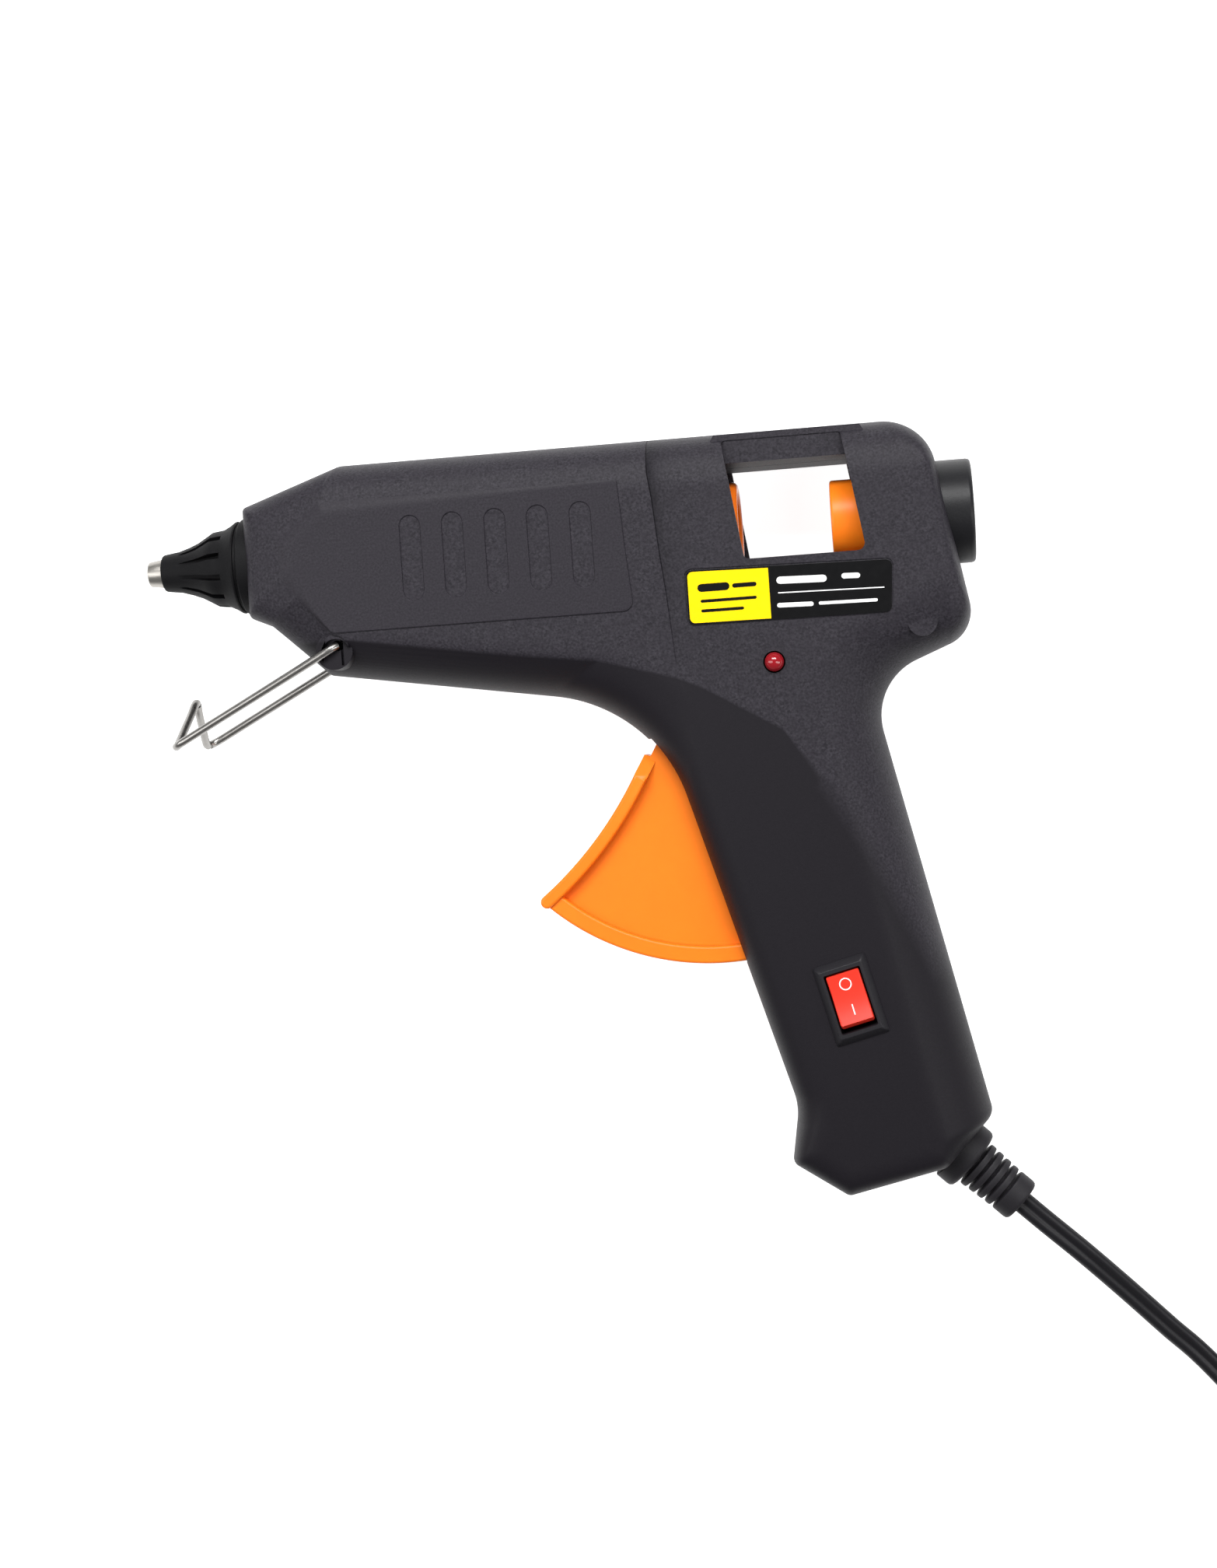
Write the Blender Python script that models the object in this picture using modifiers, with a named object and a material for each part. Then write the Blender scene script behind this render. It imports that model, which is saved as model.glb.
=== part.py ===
"""Hot glue gun lying on its right side: two moulded shell halves and everything they hold.

Design axes, in millimetres: x runs from the nozzle tip to the rear, y rises from the barrel's
axis to the barrel's top, and z rises from the surface that the gun lies on. The two shell halves
meet at z = MID. place() turns design millimetres into world metres.
"""
import math

import bmesh
import bpy
from mathutils import Matrix, Vector

MM = 0.001

# Overall size of the gun and its lead
LENGTH = 194.3
TOP = 21.7
THICKNESS = 33.0
MID = THICKNESS / 2
RELIEF_END_X = 197.01
LOWEST_Y = -161.71
CENTRE_X = RELIEF_END_X / 2
CENTRE_Y = (TOP + LOWEST_Y) / 2

# Fits
GAP = 0.3
WALL = 2.3
CREASE_WALL = 1.2
PARTING = 0.15

# Barrel pieces, as radii and stations along x
MOUTH_RADIUS = 11.6
STICK_RADIUS = 6.2
SLEEVE_REAR = 141.0
GUIDE_RADIUS = 11.9
GUIDE_FLANGE_RADIUS = 13.2
GUIDE_FRONT = 180.4
RING_FRONT = 162.0
RING_LENGTH = 14.0
RING_RADIUS = 9.3
FIN_SLOTS = 11

# Trigger and its linkage
TRIGGER_PIVOT = (130.3, -41.3)
TRIGGER_RADIUS = 58.5
RIM_THICKNESS = 4.0
RIM_END_DEG = 284.0
SLOT_RADIUS = 59.2
SLOT_HALF = 8.0
FINGER_CENTRE = (33.8, -10.4)
FINGER_RADIUS = 91.0
FLANGE_THICKNESS = 3.0
ARM_PIN = (140.0, -18.0)
CARRIAGE_PIN = (168.0, -13.0)
PIN_RADIUS = 1.2
PIN_HOLE = 1.6
LINK_SLOT = 1.8

# Fold-out stand
STAND_PIVOT = (47.1, -20.8)
STAND_BOSS = (46.3, -22.0)
STAND_BOSS_RADIUS = 4.3
STAND_PLATFORM = 30.75
STAND_WIRE = 0.95
STAND_LEG_Z = 32.0

# Switch, lamp and label on the left side
SWITCH_CENTRE = (159.3, -108.9)
SWITCH_TURN_DEG = 14.3
SWITCH_WIDTH = 12.3
SWITCH_LENGTH = 18.6
ROCKER_TILT_DEG = 8.0
ROCKER_PIVOT_Z = 29.5
LAMP_CENTRE = (147.3, -31.8)
LAMP_RADIUS = 2.2

# Cord and its strain relief
RELIEF_ORIGIN = (181.2, -146.4)
RELIEF_ANGLE_DEG = -43.5
RELIEF_LENGTH = 18.0
RELIEF_FLATTEN = 0.78
CORD_RADIUS = 1.6
COIL_CENTRE = (284.0, -205.0)
COIL_INNER = 23.5
COIL_OUTER = 36.6
COIL_HEIGHT = 10.7
PLUG_X = 311.0
PLUG_NECK_Y = -167.5
PLUG_FACE_Y = -133.0
PLUG_THICKNESS = 12.6
CORD_ROUTE = [
    (194.5, -159.0, 16.5),
    (200.6, -164.8, 16.2),
    (208.4, -172.3, 14.2),
    (217.6, -181.9, 9.9),
    (227.4, -192.4, 5.8),
    (237.2, -202.7, 3.1),
    (245.0, -212.2, 2.6),
]
TAIL_ROUTE = [
    (316.8, -184.0, 7.4),
    (313.2, -175.5, 6.8),
    (311.2, -167.8, 6.3),
]

# Screws that hold the halves together: place, and how far its posts reach from the parting plane
SCREWS = [
    ((58.0, 13.4), 13.6), ((128.0, 13.4), 13.6), ((181.0, -25.0), 14.6),
    ((120.5, -29.0), 14.6), ((151.5, -141.0), 14.6), ((158.0, -60.0), 14.6),
]
POST_RADIUS = 3.3
WELL_POST_RADIUS = 4.2
WELL_POST_START = 8.6
WELL_RADIUS = 3.0
SCREW_HOLE = 1.75

# Shell corners: the outline at the parting plane, the edge of the flat side, and the section
# between them. Each row is (outline x, y, radius), (flat side x, y, radius), arc steps, section.
TOP_SECTION = (0.70, 0.35, 0.93)
REAR_SECTION = (0.85, 0.30, 0.97)
HUMP_SECTION = (0.55, 0.45, 0.85)
BASE_SECTION = (0.80, 0.30, 0.95)
FRONT_SECTION = (0.75, 0.35, 0.91)
UNDER_SECTION = (0.30, 0.30, 0.62)
NOSE_SECTION = (0.85, 0.15, 0.88)
SHELL_CORNERS = [
    ((25.2, 13.4, 1.0), (35.2, 4.2, 3.0), 2, NOSE_SECTION),
    ((48.9, 21.7, 4.0), (45.2, 12.3, 2.0), 3, TOP_SECTION),
    ((184.6, 21.7, 12.5), (184.0, 11.6, 1.5), 6, TOP_SECTION),
    ((193.3, -27.8, 8.0), (188.7, -17.2, 2.0), 5, REAR_SECTION),
    ((168.2, -37.6, 14.0), (155.5, -30.6, 18.0), 6, HUMP_SECTION),
    ((189.9, -138.3, 3.0), (179.2, -141.5, 3.0), 3, HUMP_SECTION),
    ((178.6, -149.5, 4.0), (176.8, -146.0, 3.0), 3, BASE_SECTION),
    ((155.8, -154.9, 2.0), (156.6, -150.4, 2.0), 2, BASE_SECTION),
    ((143.3, -146.6, 1.5), (147.5, -144.0, 2.0), 2, BASE_SECTION),
    ((145.4, -134.0, 15.0), (151.2, -133.5, 12.0), 3, FRONT_SECTION),
    ((118.2, -39.6, 37.0), (122.9, -30.8, 25.0), 8, FRONT_SECTION),
    ((42.3, -27.1, 2.0), (48.3, -19.6, 1.5), 2, UNDER_SECTION),
    ((30.4, -15.0, 2.0), (38.6, -9.2, 4.0), 2, NOSE_SECTION),
    ((25.2, -12.7, 1.0), (34.9, -4.6, 3.0), 2, NOSE_SECTION),
]
OUTER_RINGS = 5
INNER_RINGS = 4


# ---------------------------------------------------------------- helpers

def place(x, y, z=MID):
    """World point, in metres, of a design point in millimetres."""
    return Vector(((x - CENTRE_X) * MM, (y - CENTRE_Y) * MM, z * MM))


def collection(name):
    group = bpy.data.collections.new(name)
    bpy.context.scene.collection.children.link(group)
    return group


def material(name, colour, roughness, metallic=0.0):
    """A Principled material with one colour, given as 0 to 255 sRGB values."""
    made = bpy.data.materials.new(name)
    made.use_nodes = True
    shader = made.node_tree.nodes["Principled BSDF"]
    linear = [((value / 255 + 0.055) / 1.055) ** 2.4 for value in colour]
    shader.inputs["Base Color"].default_value = (*linear, 1.0)
    shader.inputs["Roughness"].default_value = roughness
    shader.inputs["Metallic"].default_value = metallic
    return made


def put(piece, name, group, paint=None):
    """Names a piece, gives it its material and moves it to its collection."""
    piece.name = name
    piece.data.name = name
    for owner in list(piece.users_collection):
        owner.objects.unlink(piece)
    group.objects.link(piece)
    if paint is not None:
        piece.data.materials.append(paint)
    else:
        piece.hide_render = True
        piece.display_type = "WIRE"
    return piece


def smooth(piece, angle_deg=35):
    piece.data.shade_smooth()
    piece.data.set_sharp_from_angle(angle=math.radians(angle_deg))
    return piece


def block(name, low, high, group, paint=None, centre=None, turn_deg=0.0):
    """A box between two corners. With a centre, the corners are measured from it and turned."""
    middle = [(a + b) / 2 for a, b in zip(low, high)]
    size = [abs(b - a) * MM for a, b in zip(low, high)]
    bpy.ops.mesh.primitive_cube_add(size=1.0)
    piece = bpy.context.object
    piece.data.transform(Matrix.Diagonal((*size, 1.0)))
    if centre is None:
        piece.location = place(*middle)
        return put(piece, name, group, paint)
    turn = Matrix.Rotation(math.radians(turn_deg), 4, "Z")
    offset = turn @ Vector((middle[0] * MM, middle[1] * MM, 0.0))
    base = place(centre[0], centre[1], middle[2])
    piece.matrix_world = Matrix.Translation(base + offset) @ turn
    return put(piece, name, group, paint)


def rod(name, start, end, radius, group, paint=None, sides=16):
    """A round bar between two design points."""
    first = place(*start)
    last = place(*end)
    along = last - first
    bpy.ops.mesh.primitive_cylinder_add(
        vertices=sides, radius=radius * MM, depth=along.length, location=(first + last) / 2
    )
    piece = bpy.context.object
    piece.rotation_euler = along.to_track_quat("Z", "Y").to_euler()
    smooth(piece)
    return put(piece, name, group, paint)


def turned(name, profile, start, direction, group, paint=None, steps=24, bored=True, flatten=1.0):
    """A turned piece. The profile is (radius, distance) pairs that run forward along the outside
    and, where the piece is bored, back along the bore; distances go along direction."""
    mesh = bpy.data.meshes.new(name)
    points = [(radius * MM, 0.0, along * MM) for radius, along in reversed(profile)]
    edges = [(i, i + 1) for i in range(len(points) - 1)]
    if bored:
        edges.append((len(points) - 1, 0))
    mesh.from_pydata(points, edges, [])
    piece = bpy.data.objects.new(name, mesh)
    bpy.context.scene.collection.objects.link(piece)
    piece.location = place(*start)
    piece.rotation_euler = Vector(direction).to_track_quat("Z", "Y").to_euler()
    if flatten != 1.0:
        piece.scale = (1.0, flatten, 1.0)
    screw = piece.modifiers.new("turn", "SCREW")
    screw.axis = "Z"
    screw.angle = math.tau
    screw.steps = steps
    screw.render_steps = steps
    screw.use_merge_vertices = True
    screw.merge_threshold = 0.00001
    screw.use_smooth_shade = True
    return put(piece, name, group, paint)


def baked(curve, name, group, paint=None):
    """A closed mesh of a curve's evaluated shape, with its caps welded on."""
    bpy.context.view_layer.update()
    evaluated = curve.evaluated_get(bpy.context.evaluated_depsgraph_get())
    mesh = bpy.data.meshes.new_from_object(evaluated)
    mesh.materials.clear()
    cleaner = bmesh.new()
    cleaner.from_mesh(mesh)
    bmesh.ops.remove_doubles(cleaner, verts=cleaner.verts, dist=0.000002)
    bmesh.ops.recalc_face_normals(cleaner, faces=cleaner.faces)
    cleaner.to_mesh(mesh)
    cleaner.free()
    piece = bpy.data.objects.new(name, mesh)
    bpy.context.scene.collection.objects.link(piece)
    piece.matrix_world = curve.matrix_world.copy()
    bpy.data.objects.remove(curve)
    smooth(piece)
    return put(piece, name, group, paint)


def new_curve(name, loops, flat, cyclic):
    """A curve object of one or more poly splines through local points in millimetres."""
    data = bpy.data.curves.new(name, "CURVE")
    data.dimensions = "2D" if flat else "3D"
    for loop in loops:
        spline = data.splines.new("POLY")
        spline.points.add(len(loop) - 1)
        spline.use_cyclic_u = cyclic
        for point, where in zip(spline.points, loop):
            point.co = (*[value * MM for value in where], 1.0)
    curve = bpy.data.objects.new(name, data)
    bpy.context.scene.collection.objects.link(curve)
    return curve


def plate(name, loops, low, high, group, paint=None):
    """A flat piece between two heights; loops after the first are holes."""
    flat_loops = [[(x, y, 0.0) for x, y in loop] for loop in loops]
    curve = new_curve(name, flat_loops, True, True)
    curve.data.fill_mode = "BOTH"
    curve.data.extrude = (high - low) / 2 * MM
    curve.location = place(0.0, 0.0, (low + high) / 2)
    return baked(curve, name, group, paint)


def tube(name, points, radius, group, paint=None, resolution=2):
    """A round wire through design points, with closed ends."""
    curve = new_curve(name, [points], False, False)
    curve.data.bevel_depth = radius * MM
    curve.data.bevel_resolution = resolution
    curve.data.use_fill_caps = True
    curve.location = place(0.0, 0.0, 0.0)
    return baked(curve, name, group, paint)


def boolean(piece, other, operation):
    step = piece.modifiers.new(operation.lower() + "_" + other.name, "BOOLEAN")
    step.operation = operation
    step.solver = "EXACT"
    step.object = other
    return piece


def cut(piece, *cutters):
    for cutter in cutters:
        boolean(piece, cutter, "DIFFERENCE")
    return piece


def join(piece, *additions):
    for addition in additions:
        boolean(piece, addition, "UNION")
    return piece


def set_origin(piece, point):
    """Moves a piece's origin onto its joint's axis without moving its shape."""
    bpy.context.view_layer.update()
    target = Matrix.Translation(place(*point))
    piece.data.transform(target.inverted() @ piece.matrix_world)
    piece.matrix_world = target
    return piece


def attach(child, parent):
    """The child rides with the parent and stays where it is."""
    bpy.context.view_layer.update()
    child.parent = parent
    child.matrix_parent_inverse = parent.matrix_world.inverted()


# ---------------------------------------------------------------- outlines and curves

def polar(centre, radius, angle_deg):
    angle = math.radians(angle_deg)
    return (centre[0] + radius * math.cos(angle), centre[1] + radius * math.sin(angle))


def arc(centre, radius, start_deg, end_deg, steps):
    turn = (end_deg - start_deg) / steps
    return [polar(centre, radius, start_deg + turn * i) for i in range(steps + 1)]


def circle(centre, radius, sides=16):
    return [polar(centre, radius, 360.0 * i / sides) for i in range(sides)]


def obround(first, last, radius, steps=8):
    """The outline of a bar with round ends."""
    heading = math.degrees(math.atan2(last[1] - first[1], last[0] - first[0]))
    front = arc(last, radius, heading - 90, heading + 90, steps)
    back = arc(first, radius, heading + 90, heading + 270, steps)
    return front + back


def rounded(corners, steps):
    """A loop through corners (x, y, radius) whose arcs have the given numbers of steps."""
    loop = []
    count = len(corners)
    for index, (x, y, radius) in enumerate(corners):
        here = Vector((x, y))
        back = (Vector(corners[index - 1][:2]) - here).normalized()
        ahead = (Vector(corners[(index + 1) % count][:2]) - here).normalized()
        opening = back.angle(ahead)
        reach = radius / math.tan(opening / 2)
        centre = here + (back + ahead).normalized() * (radius / math.sin(opening / 2))
        first = here + back * reach - centre
        turn = first.angle_signed(here + ahead * reach - centre)
        for step in range(steps[index] + 1):
            angle = -turn * step / steps[index]
            offset = Matrix.Rotation(angle, 2) @ first
            loop.append((centre.x + offset.x, centre.y + offset.y))
    return loop


def inset(corners, distance):
    """The corners of a clockwise loop, moved inward, with radii that keep the wall even."""
    moved = []
    count = len(corners)
    for index, (x, y, radius) in enumerate(corners):
        here = Vector((x, y))
        arrive = (here - Vector(corners[index - 1][:2])).normalized()
        leave = (Vector(corners[(index + 1) % count][:2]) - here).normalized()
        inward = Vector((arrive.y, -arrive.x)) + Vector((leave.y, -leave.x))
        inward.normalize()
        side = Vector((arrive.y, -arrive.x))
        point = here + inward * (distance / inward.dot(side))
        concave = arrive.cross(leave) > 0
        new_radius = radius + distance if concave else max(radius - distance, 0.4)
        moved.append((point.x, point.y, new_radius))
    return moved


def smooth_route(route, spacing):
    """Evenly spaced points of a Catmull-Rom curve through the route's points."""
    knots = [Vector(point) for point in route]
    knots = [2 * knots[0] - knots[1]] + knots + [2 * knots[-1] - knots[-2]]
    fine = []
    for i in range(1, len(knots) - 2):
        a, b, c, d = knots[i - 1:i + 3]
        for step in range(20):
            t = step / 20
            fine.append(0.5 * (2 * b + (c - a) * t + (2 * a - 5 * b + 4 * c - d) * t * t
                               + (3 * b - a - 3 * c + d) * t ** 3))
    fine.append(knots[-2])
    lengths = [0.0]
    for first, last in zip(fine, fine[1:]):
        lengths.append(lengths[-1] + (last - first).length)
    count = max(2, round(lengths[-1] / spacing))
    points = []
    for i in range(count + 1):
        goal = lengths[-1] * i / count
        index = min(max(k for k, value in enumerate(lengths) if value <= goal), len(fine) - 2)
        share = (goal - lengths[index]) / (lengths[index + 1] - lengths[index])
        points.append(tuple(fine[index].lerp(fine[index + 1], share)))
    return points


def coil_points(start_x, end_x, y, radius, turns, per_turn=8):
    """A helix along x with its end turns closed up."""
    count = turns * per_turn
    points = []
    for i in range(count + 1):
        angle = math.tau * i / per_turn
        x = start_x + (end_x - start_x) * i / count
        points.append((x, y + radius * math.cos(angle), MID + radius * math.sin(angle)))
    return points


# ---------------------------------------------------------------- shell halves

def section(outline, crease, shape, depth, share):
    """A point on the shell's side, from the parting plane (share 0) to the flat side (1)."""
    rise, pull, height = shape
    along = 3 * (1 - share) * share ** 2 * pull + share ** 3
    up = (3 * (1 - share) ** 2 * share * rise + 3 * (1 - share) * share ** 2 * height + share ** 3)
    x = outline[0] + (crease[0] - outline[0]) * along
    y = outline[1] + (crease[1] - outline[1]) * along
    return x, y, up * depth


def shell_surface(outline_inset, crease_inset, depth, rings):
    """Rings of points from the parting plane to the flat side."""
    steps = [corner[2] for corner in SHELL_CORNERS]
    outline = rounded(inset([corner[0] for corner in SHELL_CORNERS], outline_inset), steps)
    crease = rounded(inset([corner[1] for corner in SHELL_CORNERS], crease_inset), steps)
    shapes = []
    for corner in SHELL_CORNERS:
        shapes += [corner[3]] * (corner[2] + 1)
    surface = []
    for ring in range(rings + 1):
        share = ring / rings
        surface.append([
            section(a, b, shape, depth, share) for a, b, shape in zip(outline, crease, shapes)
        ])
    return surface


def shell_half(name, side, group, paint):
    """One hollow shell half. side is +1 above the parting plane and -1 below it."""
    outer = shell_surface(0.0, 0.0, MID, OUTER_RINGS)
    inner = shell_surface(WALL, CREASE_WALL, MID - WALL, INNER_RINGS)
    mesh = bmesh.new()

    def add_rings(surface):
        rows = []
        for row in surface:
            rows.append([
                mesh.verts.new(place(x, y, MID + side * max(z, PARTING))) for x, y, z in row
            ])
        return rows

    outside = add_rings(outer)
    inside = add_rings(inner)
    count = len(outside[0])
    for index in range(count):
        after = (index + 1) % count
        for low, high in zip(outside, outside[1:]):
            mesh.faces.new((low[index], low[after], high[after], high[index]))
        for low, high in zip(inside, inside[1:]):
            mesh.faces.new((low[after], low[index], high[index], high[after]))
        mesh.faces.new((inside[0][index], inside[0][after], outside[0][after], outside[0][index]))
    mesh.faces.new(outside[-1])
    mesh.faces.new(list(reversed(inside[-1])))
    bmesh.ops.recalc_face_normals(mesh, faces=mesh.faces)
    data = bpy.data.meshes.new(name)
    mesh.to_mesh(data)
    mesh.free()
    piece = bpy.data.objects.new(name, data)
    bpy.context.scene.collection.objects.link(piece)
    smooth(piece, 30)
    return put(piece, name, group, paint)


def height(side, distance):
    """The height of a point at a distance from the parting plane on one side."""
    return MID + side * distance


def side_block(name, low, high, near, far, side, group):
    """A box on one side of the parting plane, between two distances from it."""
    levels = sorted((height(side, near), height(side, far)))
    return block(name, (*low, levels[0]), (*high, levels[1]), group)


def side_rod(name, centre, near, far, radius, side, group, sides=10):
    """A round bar on one side of the parting plane, between two distances from it."""
    start = (*centre, height(side, near))
    end = (*centre, height(side, far))
    return rod(name, start, end, radius, group, sides=sides)


def shell_supports(shell, side, tools):
    """Posts, rails and ribs that stand on the inside of a half."""
    tag = "left" if side > 0 else "right"
    inner_side = MID - WALL + 0.6
    for index, (centre, reach) in enumerate(SCREWS):
        wide = POST_RADIUS + 0.05 if side > 0 else WELL_POST_RADIUS
        profile = [(0.0, PARTING), (POST_RADIUS, PARTING), (POST_RADIUS, WELL_POST_START),
                   (wide, WELL_POST_START + 0.4), (wide, reach), (0.0, reach)]
        join(shell, turned(f"{tag}_post_{index + 1}", profile, centre, (0, 0, side), tools,
                           steps=10, bored=False))
    join(shell, side_rod(f"{tag}_pivot_post", TRIGGER_PIVOT, 8.3, inner_side, 4.5, side, tools))
    join(shell, side_rod(f"{tag}_stand_boss", STAND_BOSS, 8.0, STAND_PLATFORM - MID, STAND_BOSS_RADIUS,
                         side, tools, sides=20))
    for name, y in (("rail_upper", -10.2), ("rail_lower", -14.6)):
        join(shell, side_block(f"{tag}_{name}", (146.0, y), (179.8, y + 1.4), 7.0, inner_side, side, tools))
    for index, x in enumerate((52.0, 93.0)):
        join(shell, side_block(f"{tag}_rib_{index + 1}", (x, -5.0), (x + 2.0, 5.0), 9.9, inner_side,
                               side, tools))
    for index, y in enumerate((-9.0, 5.0)):
        join(shell, side_block(f"{tag}_guide_rib_{index + 1}", (177.8, y), (180.0, y + 4.0), 10.4,
                               inner_side, side, tools))
    join(shell, side_block(f"{tag}_window_bar", (135.5, 14.0), (171.0, 20.6), PARTING, 11.6, side, tools))


def window_outline(top):
    """The sight window in the side of the barrel, up to a given height."""
    lean = 3.5 / 25.9
    left = 141.9 - (top + 7.0) * lean
    right = 169.4 - (top + 6.6) * 4.0 / 25.7
    corners = [(left, top, 0.8), (right, top, 0.8), (169.6, -8.2, 1.7), (142.1, -8.2, 1.3)]
    return rounded(corners, [1, 1, 3, 3])


def shared_cutters(tools):
    """Openings that pass through both halves."""
    pivot = TRIGGER_PIVOT
    relief = (*polar((0.0, 0.0), 1.0, RELIEF_ANGLE_DEG), 0.0)
    sector = [pivot] + arc(pivot, SLOT_RADIUS, 203.0, 290.0, 18)
    seat_profile = [(0.0, -0.3), (7.7, -0.3), (7.7, 12.0), (0.0, 12.0)]
    seat = turned("relief_seat_cutter", seat_profile, RELIEF_ORIGIN, relief, tools, steps=24,
                  bored=False, flatten=RELIEF_FLATTEN)
    neck_profile = [(0.0, -5.2), (6.6, -5.2), (6.6, -2.1), (5.2, -2.1), (5.2, 1.0), (0.0, 1.0)]
    neck = turned("relief_neck_cutter", neck_profile, RELIEF_ORIGIN, relief, tools, steps=20,
                  bored=False, flatten=RELIEF_FLATTEN)
    return [
        rod("mouth_cutter", (18.0, 0.0), (33.0, 0.0), MOUTH_RADIUS, tools, sides=32),
        rod("guide_cutter", (183.4, 0.0), (205.0, 0.0), GUIDE_RADIUS + GAP, tools, sides=32),
        plate("window_cutter", [window_outline(13.9)], -1.0, THICKNESS + 1.0, tools),
        plate("trigger_slot_cutter", [sector], MID - SLOT_HALF, MID + SLOT_HALF, tools),
        seat,
        neck,
        rod("trigger_pin_cutter", (*pivot, MID - 13.3), (*pivot, MID + 13.3), 2.3, tools),
    ]


def stand_cutters(side, tools):
    """The hole for the stand's wire and the step that lets its leg swing."""
    tag = "left" if side > 0 else "right"
    hole = side_rod(f"{tag}_stand_hole", STAND_PIVOT, 10.2, 17.5, STAND_WIRE + GAP, side, tools)
    levels = sorted((height(side, STAND_PLATFORM - MID), height(side, 18.0)))
    step = arc(STAND_PIVOT, 14.0, 196.0, 343.0, 10) + arc(STAND_PIVOT, 2.4, 343.0, 556.0, 10)
    swing = plate(f"{tag}_stand_step", [step], levels[0], levels[1], tools)
    return [hole, swing]


def left_cutters(tools):
    """Openings in the left half only: lamp, switch, label seat and blind screw holes."""
    label = label_outline(GAP)
    cutters = [
        rod("lamp_cutter", (*LAMP_CENTRE, 28.0), (*LAMP_CENTRE, 35.0), LAMP_RADIUS + GAP, tools),
        block("switch_cutter", (-5.7, -8.9, 28.0), (5.7, 8.9, 35.0), tools,
              centre=SWITCH_CENTRE, turn_deg=SWITCH_TURN_DEG),
        plate("label_cutter", [label], THICKNESS - 0.5, THICKNESS + 1.0, tools),
        plate("left_window_cutter", [window_outline(19.2)], MID + 11.3, THICKNESS + 1.0, tools),
    ]
    for index, (centre, _) in enumerate(SCREWS):
        cutters.append(rod(f"blind_hole_{index + 1}", (*centre, MID - 1.0), (*centre, 25.6),
                           SCREW_HOLE, tools, sides=10))
    return cutters


def right_cutters(tools):
    """Openings in the right half only: screw wells and the window's far upper edge."""
    cutters = [plate("right_window_cutter", [window_outline(19.2)], -1.0, MID - 11.3, tools)]
    for index, (centre, _) in enumerate(SCREWS):
        cutters.append(rod(f"screw_well_{index + 1}", (*centre, -1.0), (*centre, 5.5), WELL_RADIUS, tools,
                           sides=10))
        cutters.append(rod(f"through_hole_{index + 1}", (*centre, 4.0), (*centre, MID + 1.0),
                           SCREW_HOLE, tools, sides=10))
    return cutters


def clamp_place(across):
    """A point on the cord's line inside the grip, a distance to one side of it."""
    along = polar(RELIEF_ORIGIN, -11.0, RELIEF_ANGLE_DEG)
    return polar(along, across, RELIEF_ANGLE_DEG + 90.0)


def make_shells(parts, tools, paints):
    shared = shared_cutters(tools)
    left = shell_half("left_shell", 1, parts, paints["charcoal"])
    right = shell_half("right_shell", -1, parts, paints["charcoal"])
    shell_supports(left, 1, tools)
    shell_supports(right, -1, tools)
    pad = block("clamp_pad", (-3.0, -8.0, 1.5), (3.0, 8.0, MID - 1.9), tools,
                centre=clamp_place(0.0), turn_deg=RELIEF_ANGLE_DEG)
    spring_post = rod("spring_post", (187.3, -16.5, 1.7), (187.3, -16.5, MID + 2.0), 1.2, tools, sides=10)
    join(right, pad, spring_post)
    cut(left, *shared, *stand_cutters(1, tools), *left_cutters(tools))
    cut(right, *shared, *stand_cutters(-1, tools), *right_cutters(tools))
    for index, across in enumerate((-5.6, 5.6)):
        hole = rod(f"clamp_hole_{index + 1}", (*clamp_place(across), 7.5), (*clamp_place(across), MID),
                   1.4, tools, sides=10)
        cut(right, hole)
    return left, right


# ---------------------------------------------------------------- barrel

def make_nozzle(parts, tools, paints):
    tip = [(2.95, 0.0), (3.4, 3.2), (3.45, 12.0), (6.0, 16.5), (6.0, 26.0), (5.0, 26.0), (5.0, 36.0),
           (3.4, 36.0), (3.4, 12.0), (1.0, 8.0), (1.0, 0.0)]
    turned("nozzle_tip", tip, (0.0, 0.0), (1, 0, 0), parts, paints["nickel"], steps=20)
    bpy.ops.mesh.primitive_uv_sphere_add(
        segments=12, ring_count=8, radius=2.4 * MM, location=place(11.6, 0.0)
    )
    ball = bpy.context.object
    smooth(ball, 60)
    put(ball, "valve_ball", parts, paints["steel"])
    tube("valve_spring", coil_points(15.0, 35.4, 0.0, 2.5, 4), 0.35, parts, paints["steel"], resolution=1)
    cover = [(4.3, 3.6), (4.9, 7.7), (6.6, 12.6), (8.8, 16.4), (9.15, 19.2), (10.9, 22.4), (10.3, 22.7),
             (10.3, 23.4), (11.3, 23.7), (11.3, 30.0), (9.2, 30.0), (9.2, 25.6), (6.4, 25.6), (6.4, 16.2),
             (3.85, 12.2), (3.7, 3.6)]
    piece = turned("nozzle_cover", cover, (0.0, 0.0), (1, 0, 0), parts, paints["rubber"], steps=33)
    cut(piece, fin_slot_cutter(tools))


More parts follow.
